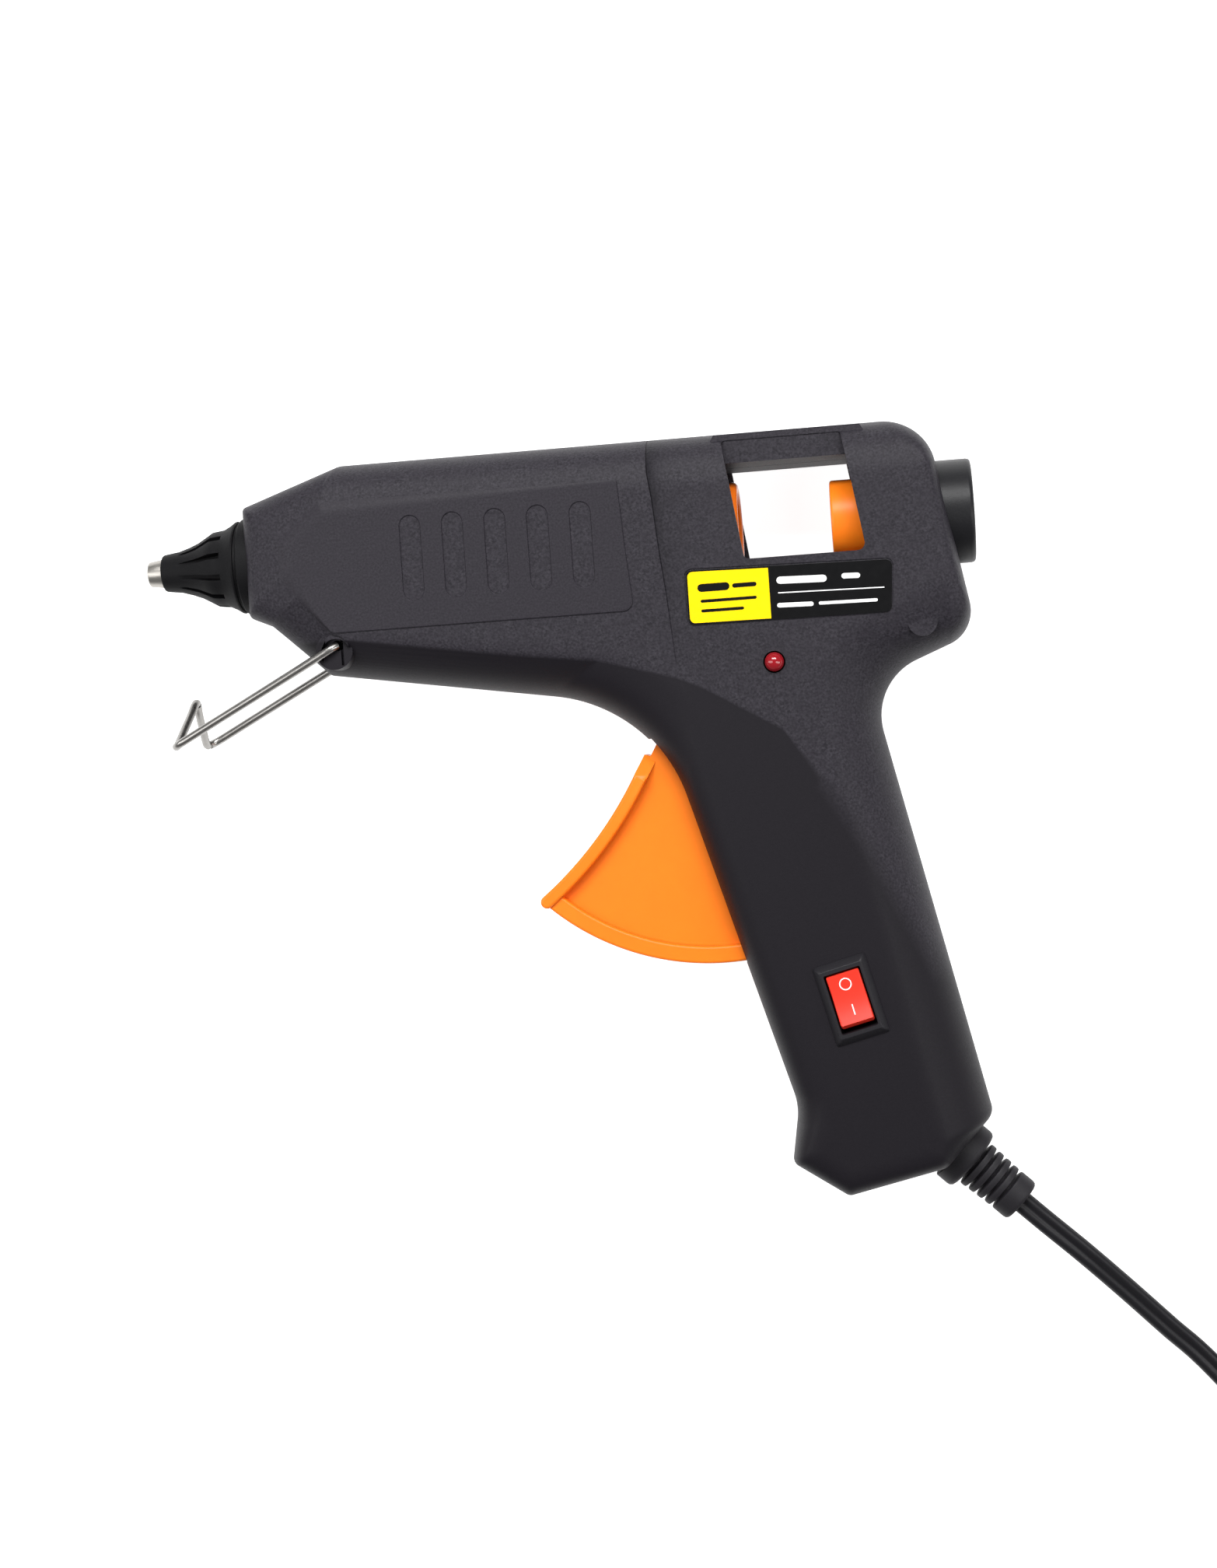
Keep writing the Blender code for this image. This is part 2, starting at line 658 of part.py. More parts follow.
def fin_slot_cutter(tools):
    """Eleven slots between the cover's fins, with a floor that rises towards the rear."""
    mesh = bmesh.new()
    front, rear = 8.0, 19.0
    for index in range(FIN_SLOTS):
        turn = Matrix.Rotation(math.tau * (index + 0.5) / FIN_SLOTS, 4, "X")
        corners = []
        for x, floor in ((front, 4.7), (rear, 7.4)):
            for z in (floor, 13.0):
                for y in (-0.45, 0.45):
                    corners.append(mesh.verts.new(turn @ Vector((x * MM, y * MM, z * MM))))
        for face in ((0, 1, 3, 2), (4, 6, 7, 5), (0, 4, 5, 1), (2, 3, 7, 6), (0, 2, 6, 4), (1, 5, 7, 3)):
            mesh.faces.new([corners[i] for i in face])
    bmesh.ops.recalc_face_normals(mesh, faces=mesh.faces)
    data = bpy.data.meshes.new("fin_slots")
    mesh.to_mesh(data)
    mesh.free()
    piece = bpy.data.objects.new("fin_slots", data)
    bpy.context.scene.collection.objects.link(piece)
    piece.location = place(0.0, 0.0)
    return put(piece, "fin_slots", tools)


def make_chamber(parts, tools, paints):
    profile = [(7.2, 26.3), (7.2, 44.0), (9.5, 47.0), (9.5, 98.0), (7.0, 100.0), (7.0, 112.0),
               (5.75, 112.0), (5.75, 46.0), (2.0, 40.0), (2.0, 36.5), (5.3, 36.5), (5.3, 26.3)]
    chamber = turned("melt_chamber", profile, (0.0, 0.0), (1, 0, 0), parts, paints["aluminium"], steps=24)
    join(chamber, block("heater_seat", (57.0, -12.6, MID - 6.5), (99.0, -7.0, MID + 6.5), tools))
    block("contact_plate_upper", (60.0, -13.3, MID - 5.5), (97.0, -12.9, MID + 5.5), parts, paints["brass"])
    block("ptc_heater", (62.0, -16.2, MID - 5.0), (94.0, -13.6, MID + 5.0), parts, paints["ceramic"])
    block("contact_plate_lower", (60.0, -16.9, MID - 5.5), (97.0, -16.5, MID + 5.5), parts, paints["brass"])
    block("heater_insulation", (59.0, -18.0, MID - 6.5), (96.0, -17.2, MID + 6.5), parts, paints["film"])
    spring_arm = [(-9.0, 9.0), (-8.4, 9.0), (-8.4, 1.0), (8.4, 1.0), (8.4, 9.0), (9.0, 9.0),
                  (9.0, 0.0), (-9.0, 0.0)]
    clip = new_curve("heater_clip", [[(a, b, 0.0) for a, b in spring_arm]], True, True)
    clip.data.fill_mode = "BOTH"
    clip.data.extrude = 7.0 * MM
    clip.location = place(78.0, -19.3, MID)
    clip.rotation_euler = (0.0, math.radians(-90), 0.0)
    baked(clip, "heater_clip", parts, paints["steel"])


def make_sleeve(parts, paints):
    profile = [(8.8, 101.0), (8.8, 124.0), (8.0, 126.0), (8.0, 136.5), (9.6, 137.6), (10.6, 138.4),
               (10.8, 139.4), (10.6, 140.5), (10.0, SLEEVE_REAR), (8.2, SLEEVE_REAR), (STICK_RADIUS, 137.0),
               (STICK_RADIUS, 112.4), (7.3, 112.4), (7.3, 101.0)]
    turned("stick_sleeve", profile, (0.0, 0.0), (1, 0, 0), parts, paints["orange_rubber"], steps=24)
    clamp = [(9.9, 104.0), (9.9, 108.0), (9.1, 108.0), (9.1, 104.0)]
    turned("sleeve_clamp", clamp, (0.0, 0.0), (1, 0, 0), parts, paints["steel"], steps=24)


def make_rear_guide(parts, paints):
    radius = GUIDE_RADIUS
    profile = [(GUIDE_FLANGE_RADIUS, GUIDE_FRONT), (GUIDE_FLANGE_RADIUS, GUIDE_FRONT + 2.6),
               (radius, GUIDE_FRONT + 2.6), (radius, LENGTH - 0.8), (radius - 0.8, LENGTH), (9.4, LENGTH),
               (STICK_RADIUS + 0.2, LENGTH - 6.0), (STICK_RADIUS + 0.2, GUIDE_FRONT)]
    turned("rear_guide", profile, (0.0, 0.0), (1, 0, 0), parts, paints["black_plastic"], steps=32)


def make_carriage(parts, tools, paints):
    """The ring that grips the stick, with a foot that slides between the shells' rails."""
    rear = RING_FRONT + RING_LENGTH
    profile = [(RING_RADIUS - 0.6, RING_FRONT), (RING_RADIUS, RING_FRONT + 0.6), (RING_RADIUS, rear - 0.6),
               (RING_RADIUS - 0.6, rear), (STICK_RADIUS, rear), (STICK_RADIUS, RING_FRONT)]
    ring = turned("feed_carriage", profile, (0.0, 0.0), (1, 0, 0), parts, paints["orange"], steps=28)
    foot = block("carriage_foot", (163.0, -19.0, MID - 4.0), (175.0, -7.6, MID + 4.0), tools)
    tongue = block("carriage_tongue", (164.0, -12.9, MID - 9.0), (174.0, -10.5, MID + 9.0), tools)
    slot = block("carriage_slot", (160.0, -21.0, MID - LINK_SLOT), (172.6, -8.3, MID + LINK_SLOT), tools)
    hole = rod("carriage_pin_hole", (*CARRIAGE_PIN, MID - 6.0), (*CARRIAGE_PIN, MID + 6.0), PIN_HOLE, tools,
               sides=12)
    bore = rod("carriage_bore", (RING_FRONT - 1.0, 0.0), (rear + 1.0, 0.0), STICK_RADIUS, tools, sides=28)
    join(ring, foot, tongue)
    cut(ring, bore, slot, hole)
    pin = rod("link_pin_carriage", (*CARRIAGE_PIN, MID - 3.9), (*CARRIAGE_PIN, MID + 3.9), PIN_RADIUS,
              parts, paints["steel"], sides=12)
    attach(pin, ring)
    spring = coil_points(175.4, 185.7, -16.5, 2.0, 5)
    tube("return_spring", spring, 0.3, parts, paints["steel"], resolution=1)


# ---------------------------------------------------------------- trigger

def make_trigger(parts, tools, paints):
    pivot = TRIGGER_PIVOT
    inner = FINGER_RADIUS + FLANGE_THICKNESS
    flange = arc(FINGER_CENTRE, FINGER_RADIUS, -26.3, -53.0, 12) + arc(FINGER_CENTRE, inner, -52.6, -26.0, 12)
    rim = (arc(pivot, TRIGGER_RADIUS, 227.6, RIM_END_DEG, 16)
           + arc(pivot, TRIGGER_RADIUS - RIM_THICKNESS, RIM_END_DEG, 226.5, 16))
    web = (arc(FINGER_CENTRE, FINGER_RADIUS + 1.4, -27.0, -51.5, 6)
           + arc(pivot, TRIGGER_RADIUS - 2.0, 230.0, RIM_END_DEG - 1.0, 10)
           + [(137.0, -46.0), (130.3, -37.0), (121.0, -44.0)])
    trigger = plate("trigger", [web], MID - 5.0, MID + 5.0, parts, paints["orange"])
    join(
        trigger,
        plate("trigger_rim", [rim], MID - 7.5, MID + 7.5, tools),
        plate("trigger_flange", [flange], MID - 8.5, MID + 8.5, tools),
        rod("trigger_boss", (*pivot, MID - 8.0), (*pivot, MID + 8.0), 6.0, tools, sides=24),
        plate("trigger_arm", [obround(pivot, ARM_PIN, 4.0)], MID - 4.9, MID + 4.9, tools),
    )
    cut(
        trigger,
        rod("trigger_pin_hole", (*pivot, MID - 9.0), (*pivot, MID + 9.0), 2.3, tools),
        rod("arm_fork", (*ARM_PIN, MID - LINK_SLOT), (*ARM_PIN, MID + LINK_SLOT), 6.2, tools, sides=20),
        rod("arm_pin_hole", (*ARM_PIN, MID - 6.0), (*ARM_PIN, MID + 6.0), PIN_HOLE, tools, sides=12),
    )
    set_origin(trigger, pivot)
    rod("trigger_pin", (*pivot, MID - 13.0), (*pivot, MID + 13.0), 2.0, parts, paints["steel"])
    pin = rod("link_pin_trigger", (*ARM_PIN, MID - 4.8), (*ARM_PIN, MID + 4.8), PIN_RADIUS, parts,
              paints["steel"], sides=12)
    attach(pin, trigger)
    holes = [circle(ARM_PIN, PIN_HOLE, 12), circle(CARRIAGE_PIN, 2.15, 14)]
    link = plate("feed_link", [obround(ARM_PIN, CARRIAGE_PIN, 3.5), *holes], MID - 1.5, MID + 1.5,
                 parts, paints["steel"])
    set_origin(link, ARM_PIN)
    attach(link, trigger)


# ---------------------------------------------------------------- stand, lamp, label and switch

def make_stand(parts, paints):
    """The bent wire that folds out from under the nose."""
    low = THICKNESS - STAND_LEG_Z
    px, py = STAND_PIVOT
    half = [
        (px, py, 27.6), (px, py, 30.8), (px - 0.5, py - 0.3, 31.7), (px - 1.8, py - 0.95, STAND_LEG_Z),
        (27.0, -31.3, STAND_LEG_Z), (9.4, -40.4, STAND_LEG_Z), (7.7, -41.3, 31.4), (7.2, -41.5, 29.8),
        (7.9, -37.2, 24.2), (8.7, -32.4, 18.6), (8.9, -31.2, MID),
    ]
    far = [(x, y, THICKNESS - z) for x, y, z in reversed(half[:-1])]
    wire = tube("stand_wire", half + far, STAND_WIRE, parts, paints["chrome"], resolution=2)
    set_origin(wire, (px, py, low))


def label_outline(grow):
    """The rating label, grown by a distance on each side."""
    corners = [
        (128.6 - grow, -9.8 + grow, 1.4), (175.1 + grow, -10.7 + grow, 1.4),
        (174.3 + grow, -22.5 - grow, 1.4), (128.6 - grow, -22.2 - grow, 1.4),
    ]
    return rounded(corners, [3, 3, 3, 3])


def make_lamp_and_label(parts, paints):
    plate("label_plate", [label_outline(0.0)], THICKNESS - 0.2, THICKNESS + 0.1, parts, paints["label"])
    dome = [(LAMP_RADIUS, 0.0), (LAMP_RADIUS, 6.4), (1.9, 7.2), (1.2, 7.8), (0.0, 8.1)]
    turned("led_lens", [(0.0, 0.0)] + dome, (*LAMP_CENTRE, 26.6), (0, 0, 1), parts, paints["lens"],
           steps=16, bored=False)
    x, y = LAMP_CENTRE
    block("led_board", (x - 5.0, y - 5.0, 25.0), (x + 8.0, y + 5.0, 26.3), parts, paints["board"])
    rod("led_resistor", (x + 4.5, y - 3.5, 27.7), (x + 4.5, y + 3.5, 27.7), 1.1, parts, paints["resistor"],
        sides=12)


def make_switch(parts, tools, paints):
    half_w, half_l = SWITCH_WIDTH / 2, SWITCH_LENGTH / 2
    turn = SWITCH_TURN_DEG
    body = block("switch_body", (-half_w, -half_l, THICKNESS + GAP), (half_w, half_l, THICKNESS + 1.4), parts,
                 paints["black_gloss"], centre=SWITCH_CENTRE, turn_deg=turn)
    case = block("switch_case", (-5.4, -8.6, 19.0), (5.4, 8.6, THICKNESS + 0.8), tools, centre=SWITCH_CENTRE,
                 turn_deg=turn)
    well = block("switch_well", (-4.2, -6.75, 22.5), (4.2, 6.75, 36.0), tools, centre=SWITCH_CENTRE,
                 turn_deg=turn)
    join(body, case)
    cut(body, well)
    rocker_side = [(-5.9, 35.2), (0.0, 34.2), (5.9, 35.2), (5.9, 31.6), (3.0, 27.2), (-3.0, 27.2),
                   (-5.9, 31.6)]
    tilt = Matrix.Rotation(math.radians(-ROCKER_TILT_DEG), 2)
    loop = []
    for along, up in rocker_side:
        offset = tilt @ Vector((along, up - ROCKER_PIVOT_Z))
        loop.append((offset.x, offset.y, 0.0))
    curve = new_curve("rocker", [loop], True, True)
    curve.data.fill_mode = "BOTH"
    curve.data.extrude = 3.85 * MM
    stand_up = Matrix.Rotation(math.radians(90 + turn), 4, "Z") @ Matrix.Rotation(math.radians(90), 4, "X")
    curve.matrix_world = Matrix.Translation(place(*SWITCH_CENTRE, ROCKER_PIVOT_Z)) @ stand_up
    rocker = baked(curve, "rocker", parts, paints["red"])
    set_origin(rocker, (*SWITCH_CENTRE, ROCKER_PIVOT_Z))
    for index, along in enumerate((-4.5, 4.5)):
        block(f"switch_terminal_{index + 1}", (-2.4, along - 0.4, 12.0), (2.4, along + 0.4, 18.7), parts,
              paints["brass"], centre=SWITCH_CENTRE, turn_deg=turn)


# ---------------------------------------------------------------- fasteners and wiring

def make_screws(parts, paints):
    profile = [(0.0, 3.0), (2.6, 3.0), (2.7, 5.2), (1.4, 5.2), (1.4, 24.0), (0.0, 25.0)]
    for index, (centre, _) in enumerate(SCREWS):
        turned(f"housing_screw_{index + 1}", profile, (*centre, 0.0), (0, 0, 1), parts, paints["steel"],
               steps=10, bored=False)
    clamp_profile = [(0.0, 9.0), (1.1, 9.0), (1.1, 20.9), (2.2, 20.9), (2.2, 22.2), (0.0, 22.2)]
    for index, across in enumerate((-5.6, 5.6)):
        turned(f"clamp_screw_{index + 1}", clamp_profile, (*clamp_place(across), 0.0), (0, 0, 1), parts,
               paints["steel"], steps=10, bored=False)


def make_wiring(parts, tools, paints):
    clamp = block("cord_clamp", (-2.5, -7.8, 18.6), (2.5, 7.8, 20.6), parts, paints["black_plastic"],
                  centre=clamp_place(0.0), turn_deg=RELIEF_ANGLE_DEG)
    for index, across in enumerate((-5.6, 5.6)):
        cut(clamp, rod(f"clamp_bar_hole_{index + 1}", (*clamp_place(across), 17.0),
                       (*clamp_place(across), 22.0), 1.4, tools, sides=10))
    entry = polar(RELIEF_ORIGIN, -5.0, RELIEF_ANGLE_DEG)
    middle = polar(RELIEF_ORIGIN, -11.0, RELIEF_ANGLE_DEG)
    end = polar(RELIEF_ORIGIN, -17.0, RELIEF_ANGLE_DEG)
    tube("inner_cord", [(*entry, MID), (*middle, MID), (*end, MID)], CORD_RADIUS, parts, paints["cord"])
    routes = {
        "live_wire": ("brown_wire", [
            (167.6, -133.0, 17.6), (165.0, -127.0, 15.5), (163.4, -121.0, 11.5), (161.0, -115.5, 10.2),
        ]),
        "neutral_wire": ("blue_wire", [
            (167.6, -133.6, 15.4), (167.5, -127.0, 9.0), (170.5, -112.0, 6.5), (168.6, -85.0, 6.0),
            (164.8, -62.0, 6.0), (157.0, -44.0, 5.6), (140.0, -27.5, 5.2), (118.0, -23.5, 5.2),
            (103.0, -19.8, 8.0), (98.6, -18.2, 10.5),
        ]),
        "heater_wire": ("brown_wire", [
            (157.4, -101.6, 10.2), (162.6, -95.0, 7.2), (164.4, -80.0, 7.0), (165.2, -68.0, 8.4),
            (164.8, -56.0, 8.6), (152.0, -38.5, 8.2), (138.0, -25.0, 8.0), (118.0, -20.8, 8.0),
            (104.0, -14.6, 9.4), (99.8, -13.6, 11.2),
        ]),
        "lamp_wire": ("red_wire", [
            (151.0, -34.0, 23.4), (152.2, -40.0, 23.6), (155.5, -47.0, 25.8), (164.5, -62.0, 27.0),
            (167.0, -80.0, 27.0), (167.4, -94.0, 24.0), (162.0, -100.0, 14.5),
        ]),
    }
    for name, (paint, route) in routes.items():
        tube(name, smooth_route(route, 6.0), 0.7, parts, paints[paint], resolution=1)


def make_relief_and_cord(parts, paints):
    rings = []
    start, pitch, ring = 5.4, 2.275, 1.35
    for index in range(4):
        rings += [(5.15, start + pitch * index), (5.15, start + pitch * index + ring),
                  (3.7, start + pitch * index + ring), (3.7, start + pitch * (index + 1))]
    profile = [(0.0, -4.6), (6.2, -4.6), (6.2, -2.4), (4.8, -2.4), (4.8, 0.0), (7.35, 0.0), (7.35, 2.6),
               (6.6, 3.5), (3.7, 3.5), (3.7, start)] + rings
    profile += [(4.6, 14.5), (4.6, 17.4), (4.0, RELIEF_LENGTH), (0.0, RELIEF_LENGTH)]
    angle = math.radians(RELIEF_ANGLE_DEG)
    turned("strain_relief", profile, RELIEF_ORIGIN, (math.cos(angle), math.sin(angle), 0.0), parts,
           paints["rubber"], steps=16, bored=False, flatten=RELIEF_FLATTEN)
    tube("cord", smooth_route(CORD_ROUTE, 10.0), CORD_RADIUS, parts, paints["cord"])
    ring_profile = [(COIL_OUTER - 1.5, 0.05), (COIL_OUTER, 1.5), (COIL_OUTER, COIL_HEIGHT - 1.5),
                    (COIL_OUTER - 1.5, COIL_HEIGHT), (COIL_INNER + 1.5, COIL_HEIGHT),
                    (COIL_INNER, COIL_HEIGHT - 1.5), (COIL_INNER, 1.5), (COIL_INNER + 1.5, 0.05)]
    turned("cord_coil", ring_profile, (*COIL_CENTRE, 0.0), (0, 0, 1), parts, paints["cord"], steps=28)
    tube("cord_tail", smooth_route(TAIL_ROUTE, 4.0), CORD_RADIUS, parts, paints["cord"])


def make_plug(parts, paints):
    """A generic flat plug with two round pins, lying beside the coil."""
    x, neck, face = PLUG_X, PLUG_NECK_Y, PLUG_FACE_Y
    corners = [
        (x - 4.5, neck, 1.5), (x - 5.6, neck + 10.0, 3.0), (x - 13.0, neck + 22.0, 6.0),
        (x - 13.0, face, 1.0), (x + 13.0, face, 1.0), (x + 13.0, neck + 22.0, 6.0),
        (x + 5.6, neck + 10.0, 3.0), (x + 4.5, neck, 1.5),
    ]
    outline = rounded(corners, [2, 3, 4, 2, 2, 4, 3, 2])
    plate("plug_body", [outline], 0.0, PLUG_THICKNESS, parts, paints["black_plastic"])
    middle = PLUG_THICKNESS / 2
    for index, across in enumerate((-9.3, 9.3)):
        rod(f"plug_pin_{index + 1}", (x + across, face + GAP, middle), (x + across, face + 19.0, middle), 2.0,
            parts, paints["nickel"])


# ---------------------------------------------------------------- assembly

def make_paints():
    return {
        "charcoal": material("charcoal", (44, 43, 48), 0.6),
        "black_plastic": material("black_plastic", (26, 26, 29), 0.45),
        "black_gloss": material("black_gloss", (15, 15, 17), 0.2),
        "orange": material("orange", (243, 115, 20), 0.42),
        "orange_rubber": material("orange_rubber", (232, 105, 30), 0.4),
        "rubber": material("rubber", (28, 28, 31), 0.7),
        "nickel": material("nickel", (190, 188, 182), 0.35, 1.0),
        "chrome": material("chrome", (200, 200, 198), 0.2, 1.0),
        "steel": material("steel", (150, 150, 150), 0.35, 1.0),
        "aluminium": material("aluminium", (180, 182, 185), 0.45, 1.0),
        "brass": material("brass", (190, 160, 90), 0.35, 1.0),
        "ceramic": material("ceramic", (215, 210, 200), 0.8),
        "film": material("film", (180, 110, 30), 0.3),
        "lens": material("lens", (150, 20, 30), 0.15),
        "board": material("board", (30, 90, 50), 0.5),
        "resistor": material("resistor", (200, 180, 140), 0.5),
        "red": material("red", (240, 55, 35), 0.35),
        "label": material("label", (20, 20, 22), 0.25),
        "cord": material("cord", (24, 24, 26), 0.5),
        "brown_wire": material("brown_wire", (110, 60, 30), 0.5),
        "blue_wire": material("blue_wire", (40, 80, 170), 0.5),
        "red_wire": material("red_wire", (180, 40, 40), 0.5),
    }


def main():
    for leftover in list(bpy.data.objects):
        bpy.data.objects.remove(leftover)
    parts = collection("glue_gun")
    tools = collection("cutters")
    paints = make_paints()
    make_shells(parts, tools, paints)
    make_nozzle(parts, tools, paints)
    make_chamber(parts, tools, paints)
    make_sleeve(parts, paints)
    make_rear_guide(parts, paints)
    make_carriage(parts, tools, paints)
    make_trigger(parts, tools, paints)
    make_stand(parts, paints)
    make_lamp_and_label(parts, paints)
    make_switch(parts, tools, paints)
    make_screws(parts, paints)
    make_wiring(parts, tools, paints)
    make_relief_and_cord(parts, paints)
    make_plug(parts, paints)


main()
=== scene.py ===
"""Looks of the glue gun: camera, lead, moulded shells and every visible piece in fine detail."""
import math

import bmesh
import bpy
from mathutils import Matrix, Vector


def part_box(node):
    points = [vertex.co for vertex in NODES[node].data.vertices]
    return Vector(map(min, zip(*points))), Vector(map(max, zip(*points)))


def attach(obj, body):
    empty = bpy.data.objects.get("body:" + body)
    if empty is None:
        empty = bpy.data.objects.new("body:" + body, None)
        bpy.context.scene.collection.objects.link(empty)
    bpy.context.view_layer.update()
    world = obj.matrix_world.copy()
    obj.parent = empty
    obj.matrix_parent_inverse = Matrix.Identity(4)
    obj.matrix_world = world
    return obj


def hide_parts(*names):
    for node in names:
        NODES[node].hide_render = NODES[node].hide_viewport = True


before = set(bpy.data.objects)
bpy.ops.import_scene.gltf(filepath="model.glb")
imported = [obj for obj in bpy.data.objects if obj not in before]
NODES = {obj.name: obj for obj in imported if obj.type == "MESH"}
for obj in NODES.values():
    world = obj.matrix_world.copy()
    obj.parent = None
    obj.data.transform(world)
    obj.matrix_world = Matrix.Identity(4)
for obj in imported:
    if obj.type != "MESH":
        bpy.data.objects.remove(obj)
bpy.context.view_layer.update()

MM = 0.001

# The gun's own axes, in millimetres: x from the nozzle tip, y above the barrel's axis, z above the floor
TIP_LOW, TIP_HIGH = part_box("nozzle_tip")
ORIGIN = Vector((TIP_LOW.x, (TIP_LOW.y + TIP_HIGH.y) / 2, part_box("right_shell")[0].z))
THICKNESS = 33.0
MID = THICKNESS / 2
LENGTH = 194.3


def at(x, y, z=MID):
    """World point, in metres, of a point in the gun's own millimetres."""
    return ORIGIN + Vector((x, y, z)) * MM


def add(name, data):
    """A new object in the scene."""
    made = bpy.data.objects.new(name, data)
    bpy.context.scene.collection.objects.link(made)
    return made


# ---- camera, light and floor

CAMERA_PLACE = (171.5, -46.5, 593.0)
CAMERA_ANGLES_DEG = (-1.49, 6.39, -4.01)
LENS_MM = 57.0
SENSOR_MM = 36.0
# Each row is a light's name, place, aim, size in metres and power
LIGHTS = [
    ("key_light", (150, 430, 600), (110, -30, 20), (0.60, 0.22), 6.8),
    ("fill_light", (-320, -20, 500), (80, -50, 20), (0.25, 0.60), 1.9),
    ("rim_light", (600, -150, 500), (170, -80, 15), (0.22, 0.60), 1.9),
]
WORLD_STRENGTH = 0.24
FLOOR_HALF_SIDE = 20000.0
FLOOR_Z = -0.3
FLOOR_GREY = 0.50
FLOOR_GLOW = 0.92


def make_camera():
    data = bpy.data.cameras.new("camera")
    data.lens = LENS_MM
    data.sensor_width = SENSOR_MM
    data.clip_start = 0.01
    camera = add("camera", data)
    camera.location = at(*CAMERA_PLACE)
    camera.rotation_euler = [math.radians(angle) for angle in CAMERA_ANGLES_DEG]
    bpy.context.scene.camera = camera


def area_light(name, place, target, size, power):
    data = bpy.data.lights.new(name, "AREA")
    data.shape = "RECTANGLE"
    data.size, data.size_y = size
    data.energy = power
    light = add(name, data)
    light.location = at(*place)
    light.rotation_euler = (at(*target) - light.location).to_track_quat("-Z", "Y").to_euler()


def make_lights():
    for light in LIGHTS:
        area_light(*light)
    world = bpy.data.worlds.new("studio")
    world.use_nodes = True
    background = world.node_tree.nodes["Background"]
    background.inputs["Color"].default_value = (1, 1, 1, 1)
    background.inputs["Strength"].default_value = WORLD_STRENGTH
    bpy.context.scene.world = world
    bpy.context.scene.view_settings.view_transform = "Standard"


def make_floor():
    mesh = bpy.data.meshes.new("floor")
    corners = [at(x * FLOOR_HALF_SIDE, y * FLOOR_HALF_SIDE, FLOOR_Z)
               for x, y in ((-1, -1), (1, -1), (1, 1), (-1, 1))]
    mesh.from_pydata(corners, [], [(0, 1, 2, 3)])
    floor = add("floor", mesh)
    paint = bpy.data.materials.new("floor_paper")
    paint.use_nodes = True
    shader = paint.node_tree.nodes["Principled BSDF"]
    shader.inputs["Base Color"].default_value = (FLOOR_GREY, FLOOR_GREY, FLOOR_GREY, 1)
    shader.inputs["Roughness"].default_value = 0.9
    shader.inputs["Emission Color"].default_value = (1, 1, 1, 1)
    shader.inputs["Emission Strength"].default_value = FLOOR_GLOW
    mesh.materials.append(paint)


# ---- material building

class Paint:
    """A Principled material with helpers for its procedural detail, in the piece's own metres."""

    def __init__(self, name, colour, roughness, metallic=0.0):
        self.material = bpy.data.materials.new(name)
        self.material.use_nodes = True
        self.tree = self.material.node_tree
        self.shader = self.tree.nodes["Principled BSDF"]
        self.shader.inputs["Base Color"].default_value = (*colour, 1.0)
        self.shader.inputs["Roughness"].default_value = roughness
        self.shader.inputs["Metallic"].default_value = metallic
        self.shader.inputs["Specular IOR Level"].default_value = 0.5 if metallic else 0.25
        self.place = self.node("ShaderNodeTexCoord").outputs["Object"]
        self.height = None

    def node(self, kind, **settings):
        made = self.tree.nodes.new(kind)
        for key, value in settings.items():
            setattr(made, key, value)
        return made

    def link(self, source, target):
        self.tree.links.new(source, target)

    def set(self, **values):
        for key, value in values.items():
            self.shader.inputs[key.replace("_", " ")].default_value = value
        return self

    def noise(self, size_mm, detail=2.0, stretch=(1, 1, 1)):
        mapping = self.node("ShaderNodeMapping")
        mapping.inputs["Scale"].default_value = stretch
        self.link(self.place, mapping.inputs["Vector"])
        noise = self.node("ShaderNodeTexNoise")
        noise.inputs["Scale"].default_value = 1000.0 / size_mm
        noise.inputs["Detail"].default_value = detail
        noise.inputs["Roughness"].default_value = 0.55
        self.link(mapping.outputs["Vector"], noise.inputs["Vector"])
        return noise.outputs["Fac"]

    def ramp(self, source, stops):
        ramp = self.node("ShaderNodeValToRGB")
        elements = ramp.color_ramp.elements
        while len(elements) < len(stops):
            elements.new(0.5)
        for element, (position, value) in zip(elements, stops):
            element.position = position
            element.color = (*value, 1.0) if isinstance(value, tuple) else (value, value, value, 1.0)
        self.link(source, ramp.inputs["Fac"])
        return ramp.outputs["Color"]

    def math(self, operation, first, second):
        made = self.node("ShaderNodeMath", operation=operation)
        for socket, value in zip(made.inputs, (first, second)):
            if isinstance(value, (int, float)):
                socket.default_value = value
            else:
                self.link(value, socket)
        return made.outputs[0]

    def scale(self, source, factor, offset):
        return self.math("ADD", self.math("MULTIPLY", source, factor), offset)

    def clamp(self, source):
        made = self.node("ShaderNodeClamp")
        self.link(source, made.inputs["Value"])
        return made.outputs[0]

    def mix(self, factor, first, second):
        made = self.node("ShaderNodeMix", data_type="RGBA")
        for name, value in (("Factor", factor), ("A", first), ("B", second)):
            socket = [s for s in made.inputs if s.name == name and s.enabled][0]
            if isinstance(value, tuple):
                socket.default_value = (*value, 1.0)
            elif isinstance(value, (int, float)):
                socket.default_value = value
            else:
                self.link(value, socket)
        return [s for s in made.outputs if s.enabled][0]

    def colour(self, source):
        self.link(source, self.shader.inputs["Base Color"])

    def rough(self, source):
        self.link(source, self.shader.inputs["Roughness"])

    def bump(self, source, depth_mm, strength):
        made = self.node("ShaderNodeBump")
        made.inputs["Distance"].default_value = depth_mm * MM
        made.inputs["Strength"].default_value = strength
        self.link(source, made.inputs["Height"])
        if self.height is not None:
            self.link(self.height, made.inputs["Normal"])
        self.height = made.outputs["Normal"]
        self.link(self.height, self.shader.inputs["Normal"])


# ---- outlines and curves

def polar(centre, radius, angle_deg):
    angle = math.radians(angle_deg)
    return (centre[0] + radius * math.cos(angle), centre[1] + radius * math.sin(angle))


